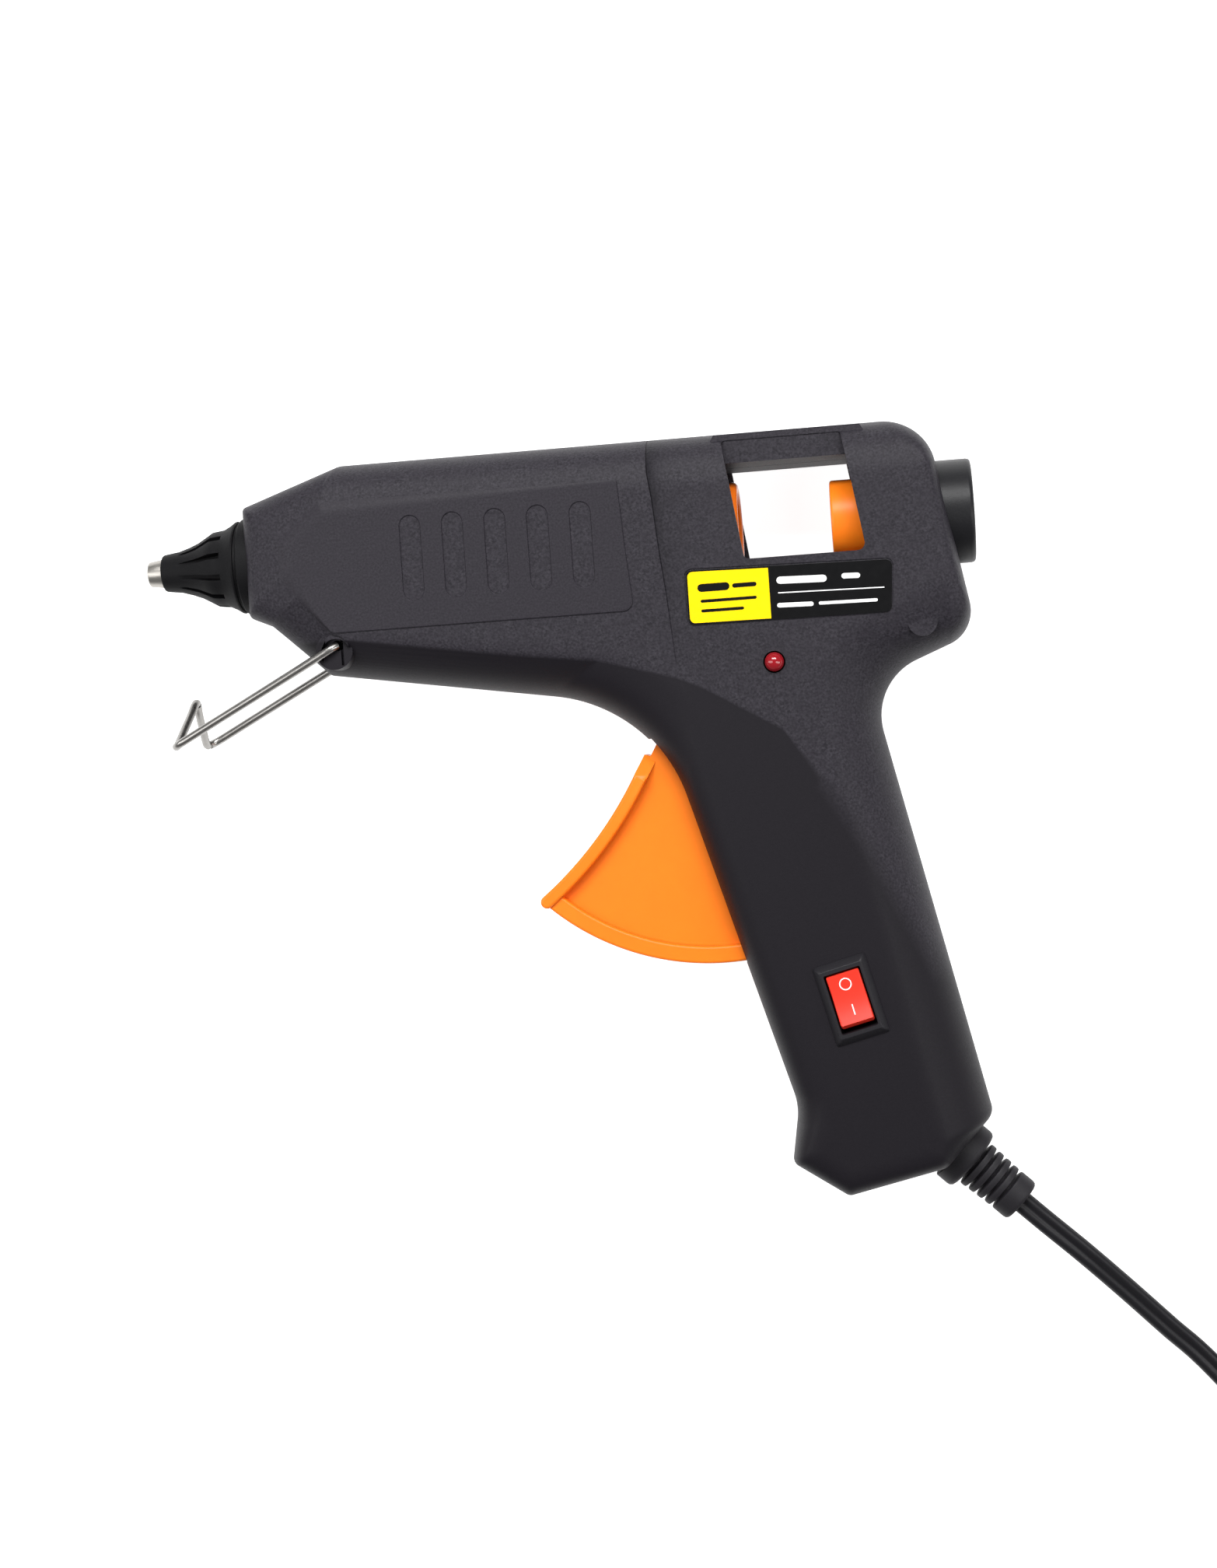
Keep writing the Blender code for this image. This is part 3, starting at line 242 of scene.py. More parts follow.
def arc(centre, radius, start_deg, end_deg, steps):
    turn = (end_deg - start_deg) / steps
    return [polar(centre, radius, start_deg + turn * i) for i in range(steps + 1)]


def circle(centre, radius, sides=48):
    return arc(centre, radius, 0.0, 360.0, sides)[:-1]


def obround(first, last, radius, steps=16):
    """The outline of a bar with round ends."""
    heading = math.degrees(math.atan2(last[1] - first[1], last[0] - first[0]))
    return (arc(last, radius, heading - 90, heading + 90, steps)
            + arc(first, radius, heading + 90, heading + 270, steps))


def rounded(corners, steps):
    """A loop through corners (x, y, radius); steps is one number of arc steps, or one a corner."""
    loop = []
    count = len(corners)
    for index, (x, y, radius) in enumerate(corners):
        here = Vector((x, y))
        back = (Vector(corners[index - 1][:2]) - here).normalized()
        ahead = (Vector(corners[(index + 1) % count][:2]) - here).normalized()
        opening = back.angle(ahead)
        reach = radius / math.tan(opening / 2)
        centre = here + (back + ahead).normalized() * (radius / math.sin(opening / 2))
        first = here + back * reach - centre
        turn = first.angle_signed(here + ahead * reach - centre)
        pieces = steps if isinstance(steps, int) else steps[index]
        for step in range(pieces + 1):
            offset = Matrix.Rotation(-turn * step / pieces, 2) @ first
            loop.append((centre.x + offset.x, centre.y + offset.y))
    return loop


def inset(corners, distance):
    """The corners of a clockwise loop, moved inward, with radii that keep the wall even."""
    moved = []
    count = len(corners)
    for index, (x, y, radius) in enumerate(corners):
        here = Vector((x, y))
        arrive = (here - Vector(corners[index - 1][:2])).normalized()
        leave = (Vector(corners[(index + 1) % count][:2]) - here).normalized()
        side = Vector((arrive.y, -arrive.x))
        inward = (side + Vector((leave.y, -leave.x))).normalized()
        point = here + inward * (distance / inward.dot(side))
        concave = arrive.cross(leave) > 0
        moved.append((point.x, point.y, radius + distance if concave else max(radius - distance, 0.4)))
    return moved


def shrink(loop, distance):
    """A finely drawn loop, moved inward by a distance at every point."""
    area = sum(a[0] * b[1] - b[0] * a[1] for a, b in zip(loop, loop[1:] + loop[:1]))
    side = 1.0 if area > 0 else -1.0
    moved = []
    for index, here in enumerate(loop):
        here = Vector(here)
        arrive = (here - Vector(loop[index - 1])).normalized()
        leave = (Vector(loop[(index + 1) % len(loop)]) - here).normalized()
        inward = Vector((-arrive.y - leave.y, arrive.x + leave.x)) * side / (1.0 + arrive.dot(leave))
        moved.append(tuple(here + inward * distance))
    return moved


def smooth_route(route, spacing):
    """Evenly spaced points of a Catmull-Rom curve through the route's points."""
    knots = [Vector(point) for point in route]
    knots = [2 * knots[0] - knots[1]] + knots + [2 * knots[-1] - knots[-2]]
    fine = []
    for i in range(1, len(knots) - 2):
        a, b, c, d = knots[i - 1:i + 3]
        for step in range(20):
            t = step / 20
            fine.append(0.5 * (2 * b + (c - a) * t + (2 * a - 5 * b + 4 * c - d) * t * t
                               + (3 * b - a - 3 * c + d) * t ** 3))
    fine.append(knots[-2])
    points = [fine[0]]
    travelled = 0.0
    for first, last in zip(fine, fine[1:]):
        travelled += (last - first).length
        if travelled >= spacing:
            points.append(last)
            travelled = 0.0
    if travelled > spacing / 2:
        points.append(fine[-1])
    else:
        points[-1] = fine[-1]
    return points


# ---- solids

def solid(name, points, faces):
    """A closed mesh object of world points, with its faces turned outward."""
    mesh = bpy.data.meshes.new(name)
    mesh.from_pydata(points, [], faces)
    cleaner = bmesh.new()
    cleaner.from_mesh(mesh)
    bmesh.ops.remove_doubles(cleaner, verts=cleaner.verts, dist=1e-7)
    bmesh.ops.recalc_face_normals(cleaner, faces=cleaner.faces)
    cleaner.to_mesh(mesh)
    cleaner.free()
    return add(name, mesh)


def stack(name, rows, closed=False):
    """A solid through rows of points that match one another; a closed stack joins its last to its first."""
    count = len(rows[0])
    points = [point for row in rows for point in row]
    faces = []
    for low in range(len(rows) if closed else len(rows) - 1):
        high = (low + 1) % len(rows)
        for i in range(count):
            j = (i + 1) % count
            faces.append((low * count + i, low * count + j, high * count + j, high * count + i))
    if not closed:
        faces.append(tuple(reversed(range(count))))
        faces.append(tuple(range(len(points) - count, len(points))))
    return solid(name, points, faces)


def lathe(name, profile, start, direction, steps=64, flatten=1.0, bored=False):
    """A turned piece from (radius, distance) pairs along a direction; a bored one's profile is a loop."""
    along = Vector(direction).normalized()
    up = Vector((0, 0, 1)) if abs(along.z) < 0.9 else Vector((0, 1, 0))
    side = along.cross(up).normalized()
    up = side.cross(along)
    base = at(*start)
    rows = []
    for radius, distance in profile:
        radius = max(radius, 0.002)
        rows.append([
            base + (along * distance + side * (radius * math.cos(math.tau * i / steps))
                    + up * (radius * flatten * math.sin(math.tau * i / steps))) * MM
            for i in range(steps)
        ])
    return stack(name, rows, closed=bored)


def barrel_ring(name, profile, sides=96):
    """A bored piece about the barrel's axis; its profile is a loop."""
    return lathe(name, profile, (0, 0, MID), (1, 0, 0), sides, bored=True)


def rod(name, start, end, radius, sides):
    along = Vector(end) - Vector(start)
    return lathe(name, [(radius, 0.0), (radius, along.length)], start, along, sides)


def slab(name, loop, low, high, edge=0.0, segments=3):
    """A flat piece between two heights, with rounded edges where edge isn't 0."""
    levels = [(0.0, low), (0.0, high)]
    if edge:
        angles = [math.radians(90.0 * i / segments) for i in range(segments + 1)]
        levels = [(edge * (1 - math.sin(a)), low + edge * (1 - math.cos(a))) for a in angles]
        levels += [(edge * (1 - math.cos(a)), high - edge * (1 - math.sin(a))) for a in angles]
    rows = [[at(x, y, z) for x, y in shrink(loop, back)] for back, z in levels]
    return stack(name, rows)


def oblong_at(x0, y0, x1, y1):
    return [(x0, y0), (x1, y0), (x1, y1), (x0, y1)]


def turned(points, centre, turn_deg):
    """Points that are measured from a centre, turned about it."""
    turn = Matrix.Rotation(math.radians(turn_deg), 2)
    return [tuple(turn @ Vector(point) + Vector(centre)) for point in points]


def block(name, low, high, centre=(0.0, 0.0), turn_deg=0.0, edge=0.0):
    """A box between two corners that are measured from a centre and turned about it."""
    return slab(name, turned(oblong_at(*low[:2], *high[:2]), centre, turn_deg), low[2], high[2], edge)


def wire(name, points, radius, sides):
    """A round wire along points in the gun's millimetres."""
    places = [at(*point) for point in points]
    return sweep(name, places, [Vector((0, 0, 1))] * len(places), circle((0.0, 0.0), radius, sides))


def sweep(name, places, ups, section):
    """A section of (across, up) millimetres, carried along world points."""
    rows = []
    up = ups[0]
    for i, (here, wanted) in enumerate(zip(places, ups)):
        along = (places[min(i + 1, len(places) - 1)] - places[max(i - 1, 0)]).normalized()
        guide = wanted if abs(wanted.dot(along)) < 0.95 else up
        side = along.cross(guide).normalized()
        up = side.cross(along)
        rows.append([here + (side * a + up * b) * MM for a, b in section])
    return stack(name, rows)


def combine(name, pieces):
    """One object from several, their meshes unchanged."""
    target = bmesh.new()
    for piece in pieces:
        target.from_mesh(piece.data)
        bpy.data.objects.remove(piece)
    mesh = bpy.data.meshes.new(name)
    target.to_mesh(mesh)
    target.free()
    return add(name, mesh)


def carve(piece, others, operation="DIFFERENCE", overlapping=False):
    """Cuts other solids from a piece, or joins them to it, and keeps the result as the piece's mesh."""
    tool = combine("tool", others)
    step = piece.modifiers.new("carve", "BOOLEAN")
    step.operation = operation
    step.solver = "EXACT"
    step.use_self = overlapping
    step.object = tool
    bpy.context.view_layer.update()
    evaluated = piece.evaluated_get(bpy.context.evaluated_depsgraph_get())
    mesh = bpy.data.meshes.new_from_object(evaluated)
    piece.modifiers.clear()
    piece.data = mesh
    bpy.data.objects.remove(tool)
    return piece


def dress(piece, slot, nodes=(), body="housing", sharp_deg=38.0, paint=None):
    """Gives a piece its shading and body, hides the CAD nodes it replaces, and gives it the slot's material
    or the one named.
    """
    piece.data.name = piece.name
    piece.data.materials.clear()
    piece.data.materials.append(PAINTS[paint or slot])
    piece.data.shade_smooth()
    piece.data.set_sharp_from_angle(angle=math.radians(sharp_deg))
    weights = piece.modifiers.new("even_shading", "WEIGHTED_NORMAL")
    weights.keep_sharp = True
    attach(piece, body)
    if nodes:
        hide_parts(*nodes)
    return piece


# ---- materials

CHARCOAL = (0.0210, 0.0186, 0.0240)
GRIP = (0.0076, 0.0064, 0.0090)
ORANGE = (0.95, 0.21, 0.010)

# The line between the coarse upper side and the smoother grip, as (x, y) from nose to grip
GRIP_EDGE = [
    (48.9, -19.6), (86.4, -25.8), (107.5, -28.7), (125.2, -33.9), (131.0, -36.6), (148.3, -47.1),
    (155.4, -57.6), (163.1, -70.4), (166.8, -77.8), (178.0, -102.0),
]
# The step that runs down the side behind the panel, as (x, y) from top to bottom
STEP_LINE = [(121.3, 13.2), (122.1, 7.1), (123.0, -4.7), (124.0, -14.6), (125.2, -30.9), (126.3, -36.0)]


def gun_axes(paint):
    """The x, y and z outputs of the gun's own millimetres, for procedural masks."""
    mapping = paint.node("ShaderNodeMapping")
    mapping.inputs["Location"].default_value = [-value / MM for value in ORIGIN]
    mapping.inputs["Scale"].default_value = (1 / MM,) * 3
    paint.link(paint.place, mapping.inputs["Vector"])
    split = paint.node("ShaderNodeSeparateXYZ")
    paint.link(mapping.outputs["Vector"], split.inputs["Vector"])
    return split.outputs["X"], split.outputs["Y"], split.outputs["Z"]


def along_line(paint, source, points, low, high):
    """The value of a polyline (position, value) at source, read from a colour ramp of greys."""
    positions = [position for position, _ in points]
    span = positions[-1] - positions[0]
    share = paint.math("DIVIDE", paint.math("SUBTRACT", source, positions[0]), span)
    stops = [((position - positions[0]) / span, (value - low) / (high - low)) for position, value in points]
    grey = paint.ramp(share, stops)
    return paint.scale(grey, high - low, low)


def shell_paint():
    """Charcoal moulding: spark-eroded upper side, smoother and darker grip, and the step line's dip, with
    painted shade in its colour.
    """
    paint = Paint("shell_charcoal", CHARCOAL, 0.55).set(Specular_IOR_Level=0.15)
    x, y, z = gun_axes(paint)
    edge = along_line(paint, x, GRIP_EDGE, -102.0, -19.6)
    # The line is crisp on the barrel and fades out down the grip
    crisp = paint.math("DIVIDE", paint.math("ADD", y, 62.0), 14.0)
    crisp = paint.math("MAXIMUM", paint.math("MINIMUM", crisp, 1.4), 0.10)
    upper = paint.clamp(paint.scale(paint.math("SUBTRACT", y, edge), crisp, 0.5))
    grain = paint.noise(0.42, detail=3.0)
    blotch = paint.noise(3.2, detail=2.0)
    speck = paint.ramp(paint.noise(0.55, detail=1.0), [(0.30, 0.0), (0.72, 1.0)])
    bright = paint.mix(speck, (0.0080, 0.0070, 0.0100), (0.0410, 0.0375, 0.0460))
    upper_colour = paint.mix(blotch, bright, CHARCOAL)
    grip_colour = paint.mix(paint.noise(0.5, detail=1.0), GRIP, (0.0098, 0.0084, 0.0114))
    paint.rough(paint.scale(grain, 0.22, 0.42))
    coarse = paint.math("MULTIPLY", grain, paint.scale(upper, 0.75, 0.25))
    paint.bump(coarse, 0.10, 0.75)
    # The dip behind the step is deepest at its line, and fades out towards the grip; it bends the normals,
    # and the same mask paints shade into the colour
    line = along_line(paint, y, sorted((b, a) for a, b in STEP_LINE), 121.0, 127.0)
    past = paint.math("SUBTRACT", x, line)
    decay = paint.math("POWER", 0.62, paint.math("MAXIMUM", past, 0.0))
    behind = paint.clamp(paint.scale(past, 4.0, 0.5))
    fade = paint.clamp(paint.math("DIVIDE", paint.math("ADD", y, 37.0), 44.0))
    left_side = paint.clamp(paint.math("SUBTRACT", z, MID))
    dip_and_shade = paint.math("MULTIPLY", paint.math("MULTIPLY", decay, behind),
                     paint.math("MULTIPLY", fade, left_side))
    paint.bump(paint.math("SUBTRACT", 0.0, dip_and_shade), 1.1, 1.0)
    moulding = paint.mix(upper, grip_colour, upper_colour)
    # Painted shade: the colour is darkened toward near-black in the dip behind the step line, most at the
    # line
    paint.colour(paint.mix(paint.math("MULTIPLY", dip_and_shade, 0.6), moulding, (0.002, 0.002, 0.003)))
    return paint.material


def panel_paint():
    """The raised panel's finer texture."""
    paint = Paint("panel_charcoal", CHARCOAL, 0.5).set(Specular_IOR_Level=0.15)
    speck = paint.ramp(paint.noise(0.5, detail=1.0), [(0.32, 0.0), (0.70, 1.0)])
    fine = paint.mix(speck, (0.0150, 0.0132, 0.0172), (0.0310, 0.0282, 0.0350))
    paint.colour(paint.mix(paint.noise(4.0, detail=2.0), fine, CHARCOAL))
    grain = paint.noise(0.40, detail=3.0)
    paint.rough(paint.scale(grain, 0.18, 0.40))
    paint.bump(grain, 0.05, 0.7)
    return paint.material


def moulded(name, colour, roughness, grain_mm, depth_mm, variation=0.12, **sockets):
    """A plastic or rubber with a fine grain and slight changes of colour and gloss."""
    paint = Paint(name, colour, roughness)
    paint.set(**sockets)
    darker = tuple(value * (1 - variation) for value in colour)
    paint.colour(paint.mix(paint.noise(6.0, detail=3.0), darker, colour))
    grain = paint.noise(grain_mm, detail=2.0)
    paint.rough(paint.scale(grain, 0.12, roughness - 0.06))
    paint.bump(grain, depth_mm, 0.6)
    return paint.material


def metal(name, colour, roughness, stretch, depth_mm=0.01, grain_mm=0.4):
    """A metal with brushing or plating that changes its gloss."""
    paint = Paint(name, colour, roughness, 1.0)
    brush = paint.noise(grain_mm, detail=4.0, stretch=stretch)
    stain = paint.noise(4.0, detail=3.0)
    paint.colour(paint.mix(stain, tuple(value * 0.8 for value in colour), colour))
    paint.rough(paint.scale(brush, 0.25, roughness - 0.12))
    paint.bump(brush, depth_mm, 0.5)
    return paint.material


# Each row is colour, roughness, grain size and depth in millimetres, and the share that colour varies by
PLASTICS = {
    "black_plastic": ((0.008, 0.008, 0.0095), 0.42, 0.5, 0.03),
    "switch_plastic": ((0.013, 0.012, 0.015), 0.46, 0.8, 0.012),
    "orange_plastic": (ORANGE, 0.36, 0.9, 0.012, 0.10),
    "orange_silicone": ((0.85, 0.17, 0.012), 0.22, 1.2, 0.02, 0.15),
    "black_rubber": ((0.0035, 0.0034, 0.0042), 0.60, 0.35, 0.05, 0.2),
    "relief_rubber": ((0.0150, 0.0138, 0.0168), 0.52, 0.35, 0.03, 0.15),
    "ceramic": ((0.67, 0.64, 0.57), 0.75, 0.3, 0.04),
    "insulation_film": ((0.45, 0.16, 0.013), 0.25, 2.0, 0.03),
    "red_lens": ((0.30, 0.004, 0.010), 0.16, 3.0, 0.002, 0.25),
    "circuit_board": ((0.013, 0.1, 0.03), 0.45, 0.6, 0.02),
    "resistor_body": ((0.58, 0.45, 0.26), 0.5, 0.6, 0.02),
    "red_plastic": ((0.80, 0.036, 0.018), 0.38, 0.8, 0.008, 0.1),
    "label": ((0.0045, 0.0045, 0.005), 0.22, 1.5, 0.004),
    "label_yellow": ((0.86, 0.60, 0.0), 0.30, 1.5, 0.004, 0.03),
    "label_white": ((0.82, 0.82, 0.82), 0.35, 1.5, 0.004, 0.03),
    "cord_jacket": ((0.0088, 0.0084, 0.0104), 0.42, 0.6, 0.02),
    "brown_insulation": ((0.155, 0.045, 0.013), 0.45, 1.0, 0.01),
    "blue_insulation": ((0.021, 0.08, 0.40), 0.45, 1.0, 0.01),
    "red_insulation": ((0.46, 0.021, 0.021), 0.45, 1.0, 0.01),
}
SHEENS = {
    "orange_plastic": {"Subsurface_Weight": 0.08, "Subsurface_Scale": 0.002},
    "orange_silicone": {"Coat_Weight": 0.3, "Coat_Roughness": 0.12},
    "black_rubber": {"Specular_IOR_Level": 0.14},
    "red_lens": {"Coat_Weight": 0.8, "Coat_Roughness": 0.03},
}
# Each row is colour, roughness, the brushing's stretch, and its depth and size in millimetres
METALS = {
    "nickel": ((0.44, 0.42, 0.39), 0.36, (0.15, 1, 1), 0.02, 0.25),
    "bright_wire": ((0.34, 0.33, 0.315), 0.30, (0.3, 0.3, 1), 0.008),
    "steel": ((0.42, 0.42, 0.42), 0.34, (1, 1, 0.2)),
    "aluminium": ((0.50, 0.51, 0.53), 0.5, (1, 1, 1), 0.05, 0.9),
    "brass": ((0.60, 0.42, 0.14), 0.34, (0.2, 1, 1)),
}


def make_paints():
    paints = {"charcoal_plastic": shell_paint(), "panel_plastic": panel_paint()}
    for name, row in PLASTICS.items():
        paints[name] = moulded(name, *row, **SHEENS.get(name, {}))
    for name, row in METALS.items():
        paints[name] = metal(name, *row)
    return paints


PAINTS = make_paints()


# ---- lead

RELIEF_ORIGIN = (181.2, -146.4)
RELIEF_ANGLE_DEG = -43.5
RELIEF_ALONG = (*polar((0.0, 0.0), 1.0, RELIEF_ANGLE_DEG), 0.0)
RELIEF_FLATTEN = 0.78
CORD_EXIT = (194.5, -159.0)
CORD_ROUTE = [
    (*CORD_EXIT, 16.5), (200.6, -164.8, 16.2), (208.4, -172.3, 14.2),
    (217.6, -181.9, 9.9), (227.4, -192.4, 5.8), (237.2, -202.7, 3.1),
]
TAIL_ROUTE = [(316.8, -184.0, 7.4), (313.2, -175.5, 6.8), (311.2, -167.8, 6.3)]
ROUTE_SPACING = 2.5
CORE_RADIUS = 1.45
CORE_SPACING = 1.15
COIL_CENTRE = (284.0, -205.0)
COIL_WIDE = 34.8
COIL_NARROW = 25.5
COIL_LAYERS = (2.65, 7.95)
COIL_START_DEG = 219.2
TURN_STEP_DEG = 12.0
LOWER_TURNS_DEG = 1080.0
CROSSING_DEG = 60.0
UPPER_TURNS_DEG = 1160.8
# The lead begins to turn onto its edge past this x, and stands on it from this y
EDGE_TURN_X = 239.0
EDGE_TURN_Y = -226.0


def coil_route():
    """The coil stands on its edge: three turns inward on the floor, then over itself and outward."""
    low, high = COIL_LAYERS
    stages = [
        (LOWER_TURNS_DEG, COIL_WIDE, COIL_NARROW, low, low),
        (CROSSING_DEG, COIL_NARROW, COIL_NARROW, low, high),
        (UPPER_TURNS_DEG, COIL_NARROW, COIL_WIDE, high, high),
    ]
    points = []
    angle = COIL_START_DEG
    for turn, r0, r1, z0, z1 in stages:
        steps = round(turn / TURN_STEP_DEG)
        for i in range(steps):
            share = i / steps
            ease = share * share * (3 - 2 * share)
            x, y = polar(COIL_CENTRE, r0 + (r1 - r0) * share, angle + turn * share)
            points.append((x, y, z0 + (z1 - z0) * ease))
        angle += turn
    points.append((*polar(COIL_CENTRE, COIL_WIDE, angle), high))
    return points


def make_cord():
    coil = coil_route()
    lead = smooth_route(CORD_ROUTE + [coil[0], coil[1]], ROUTE_SPACING)
    while (lead[-1] - Vector(coil[0])).dot(Vector(coil[1]) - Vector(coil[0])) > -1.0:
        lead.pop()
    tail = smooth_route([coil[-1], *TAIL_ROUTE], ROUTE_SPACING)
    route = lead + [Vector(point) for point in coil[:-1]] + tail
    places = [at(*point) for point in route]
    ups = ease_ups(route)
    section = []
    for side in (1, -1):
        for i in range(17):
            angle = math.radians(-130 + 260 * i / 16)
            section.append((side * (CORE_SPACING + CORE_RADIUS * math.cos(angle)),
                            side * CORE_RADIUS * math.sin(angle)))
    piece = sweep("flat_cord", places, ups, section)
    dress(piece, "cord_jacket", ["cord", "cord_coil", "cord_tail"])
    return piece, places


def ease_ups(route):
    """The direction of the cord's flat side: up on the floor, and a quarter turn from it in the coil."""
    ups = []
    turn_start = next(i for i, point in enumerate(route) if point[0] > EDGE_TURN_X)
    coil_start = next(i for i, point in enumerate(route) if point[1] < EDGE_TURN_Y)
    for i, point in enumerate(route):
        share = min(max((i - turn_start) / (coil_start - turn_start), 0.0), 1.0)
        share = share * share * (3 - 2 * share)
        before = Vector(route[max(i - 1, 0)])
        after = Vector(route[min(i + 1, len(route) - 1)])
        along = (after - before).normalized()
        side = along.cross(Vector((0, 0, 1))).normalized()
        ups.append(Vector((0, 0, 1)) * math.cos(share * math.pi / 2)
                   + side * math.sin(share * math.pi / 2))
    return ups


# ---- shells

TRIGGER_PIVOT = (130.3, -41.3)
STAND_PIVOT = (47.1, -20.8)
STAND_BOSS = (46.3, -22.0)
SWITCH_CENTRE = (159.3, -108.9)
SWITCH_TURN_DEG = 14.3
LAMP_CENTRE = (147.3, -31.8)
WALL = 2.3
CREASE_WALL = 1.2
PARTING = 0.15
PANEL_RISE = 0.35
FACE_Z = THICKNESS - PANEL_RISE
MOUTH_RADIUS = 11.6
REAR_HOLE_RADIUS = 12.2
TRIGGER_SLOT_RADIUS = 59.2
TRIGGER_SLOT_HALF = 8.0
STAND_HOLE_RADIUS = 1.25
SCREW_HOLE_RADIUS = 1.75
TOP_SECTION = (0.70, 0.35, 0.93)
REAR_SECTION = (0.85, 0.30, 0.97)
HUMP_SECTION = (0.55, 0.45, 0.85)
BASE_SECTION = (0.80, 0.30, 0.95)
FRONT_SECTION = (0.75, 0.35, 0.91)
UNDER_SECTION = (0.30, 0.30, 0.62)
NOSE_SECTION = (0.85, 0.15, 0.88)
# Each row is (outline x, y, radius), (flat side x, y, radius), arc steps, section between them
SHELL_CORNERS = [
    ((25.2, 13.4, 1.0), (35.2, 4.2, 3.0), 6, NOSE_SECTION),
    ((48.9, 21.7, 4.0), (45.2, 12.3, 2.0), 8, TOP_SECTION),
    ((184.6, 21.7, 12.5), (184.0, 11.6, 1.5), 16, TOP_SECTION),
    ((193.3, -27.8, 8.0), (188.7, -17.2, 2.0), 14, REAR_SECTION),
    ((168.2, -37.6, 14.0), (155.5, -30.6, 18.0), 16, HUMP_SECTION),
    ((189.9, -138.3, 3.0), (179.2, -141.5, 3.0), 8, HUMP_SECTION),
    ((178.6, -149.5, 4.0), (176.8, -146.0, 3.0), 8, BASE_SECTION),
    ((155.8, -154.9, 2.0), (156.6, -150.4, 2.0), 6, BASE_SECTION),
    ((143.3, -146.6, 1.5), (147.5, -144.0, 2.0), 6, BASE_SECTION),
    ((145.4, -134.0, 15.0), (151.2, -133.5, 12.0), 10, FRONT_SECTION),
    ((118.2, -39.6, 37.0), (122.9, -30.8, 25.0), 24, FRONT_SECTION),
    ((42.3, -27.1, 2.0), (48.3, -19.6, 1.5), 6, UNDER_SECTION),
    ((30.4, -15.0, 2.0), (38.6, -9.2, 4.0), 6, NOSE_SECTION),
    ((25.2, -12.7, 1.0), (34.9, -4.6, 3.0), 6, NOSE_SECTION),
]
# How the flat side rounds over into the crease, as (distance inside it, drop below the flat side)
CREASE_SOFTENING = [(0.0, 0.34), (0.7, 0.19), (1.5, 0.08), (2.4, 0.02), (3.4, 0.0)]
PANEL_SOFT_EDGE = [(0.0, -0.95), (0.0, -0.66), (0.8, -0.42), (1.7, -0.20), (2.7, -0.05), (3.6, 0.0)]
PANEL_CRISP_EDGE = [(0.0, -0.95), (0.0, -0.20), (0.03, -0.10), (0.09, -0.03), (0.20, 0.0), (0.6, 0.0)]
OUTER_RINGS = 16
INNER_RINGS = 6
# Where the housing screws stand, and how far their posts reach from the parting plane
SCREWS = [
    ((58.0, 13.4), 13.6), ((128.0, 13.4), 13.6), ((181.0, -25.0), 14.6),
    ((120.5, -29.0), 14.6), ((151.5, -141.0), 14.6), ((158.0, -60.0), 14.6),
]


def section_point(outline, crease, shape, depth, share):
    """A point on the shell's side, from the parting plane (share 0) to the flat side (1)."""
    rise, pull, height = shape
    along = 3 * (1 - share) * share ** 2 * pull + share ** 3
    up = 3 * (1 - share) ** 2 * share * rise + 3 * (1 - share) * share ** 2 * height + share ** 3
    return (outline[0] + (crease[0] - outline[0]) * along,
            outline[1] + (crease[1] - outline[1]) * along, up * depth)


def shell_loop(column, back):
    """The outline at the parting plane (column 0) or the flat side's edge (column 1), moved inward."""
    return rounded(inset([corner[column] for corner in SHELL_CORNERS], back),
                   [corner[2] for corner in SHELL_CORNERS])


def shell_rows(back, crease_back, depth, rings, side, soften=((0.0, 0.0),)):
    """Rows of points from the parting plane over the side, and on over the softened crease."""
    shapes = []
    for corner in SHELL_CORNERS:
        shapes += [corner[3]] * (corner[2] + 1)
    rows = []
    for ring in range(rings + 1):
        row = [section_point(a, b, shape, depth - soften[0][1], ring / rings)
               for a, b, shape in zip(shell_loop(0, back), shell_loop(1, crease_back), shapes)]
        rows.append([at(x, y, MID + side * max(z, PARTING)) for x, y, z in row])
    for extra, drop in soften[1:]:
        rows.append([at(x, y, MID + side * (depth - drop)) for x, y in shell_loop(1, crease_back + extra)])
    return rows


def shell_blank(name, side):
    """One hollow half before its openings. side is +1 above the parting plane and -1 below it."""
    outside = shell_rows(0.0, 0.0, MID - PANEL_RISE, OUTER_RINGS, side, CREASE_SOFTENING)
    inside = shell_rows(WALL, CREASE_WALL, MID - WALL, INNER_RINGS, side)
    return stack(name, list(reversed(outside)) + inside)


def side_slab(loop, near, far, side, edge=0.0, name="tool"):
    """A flat solid between two distances from the parting plane, on one side of it."""
    low, high = sorted((MID + side * near, MID + side * far))
    return slab(name, loop, low, high, edge)


def shell_supports(side):
    """Posts, rails and ribs on the inside of a half, which meet it but not one another."""
    inner = MID - WALL + 0.6
    pieces = []
    for centre, reach in SCREWS:
        wide = 3.35 if side > 0 else 4.2
        profile = [(3.3, PARTING), (3.3, 8.6), (wide, 9.0), (wide, reach)]
        pieces.append(lathe("tool", profile, (*centre, MID), (0, 0, side), 24))
    pieces.append(side_slab(circle(TRIGGER_PIVOT, 4.5, 32), 8.3, inner, side))
    pieces.append(side_slab(circle(STAND_BOSS, 4.3), 8.0, 14.3, side))
    for y in (-10.2, -14.6):
        pieces.append(side_slab(oblong_at(146.0, y, 179.8, y + 1.4), 7.0, inner, side))
    for x in (52.0, 93.0):
        pieces.append(side_slab(oblong_at(x, -5.0, x + 2, 5.0), 9.9, inner, side))
    bar = [(135.5, 14.0), (171.0, 14.0), (171.0, 18.6), (169.8, 20.6), (136.7, 20.6), (135.5, 18.6)]
    pieces.append(side_slab(bar, PARTING, 11.6, side))
    return pieces


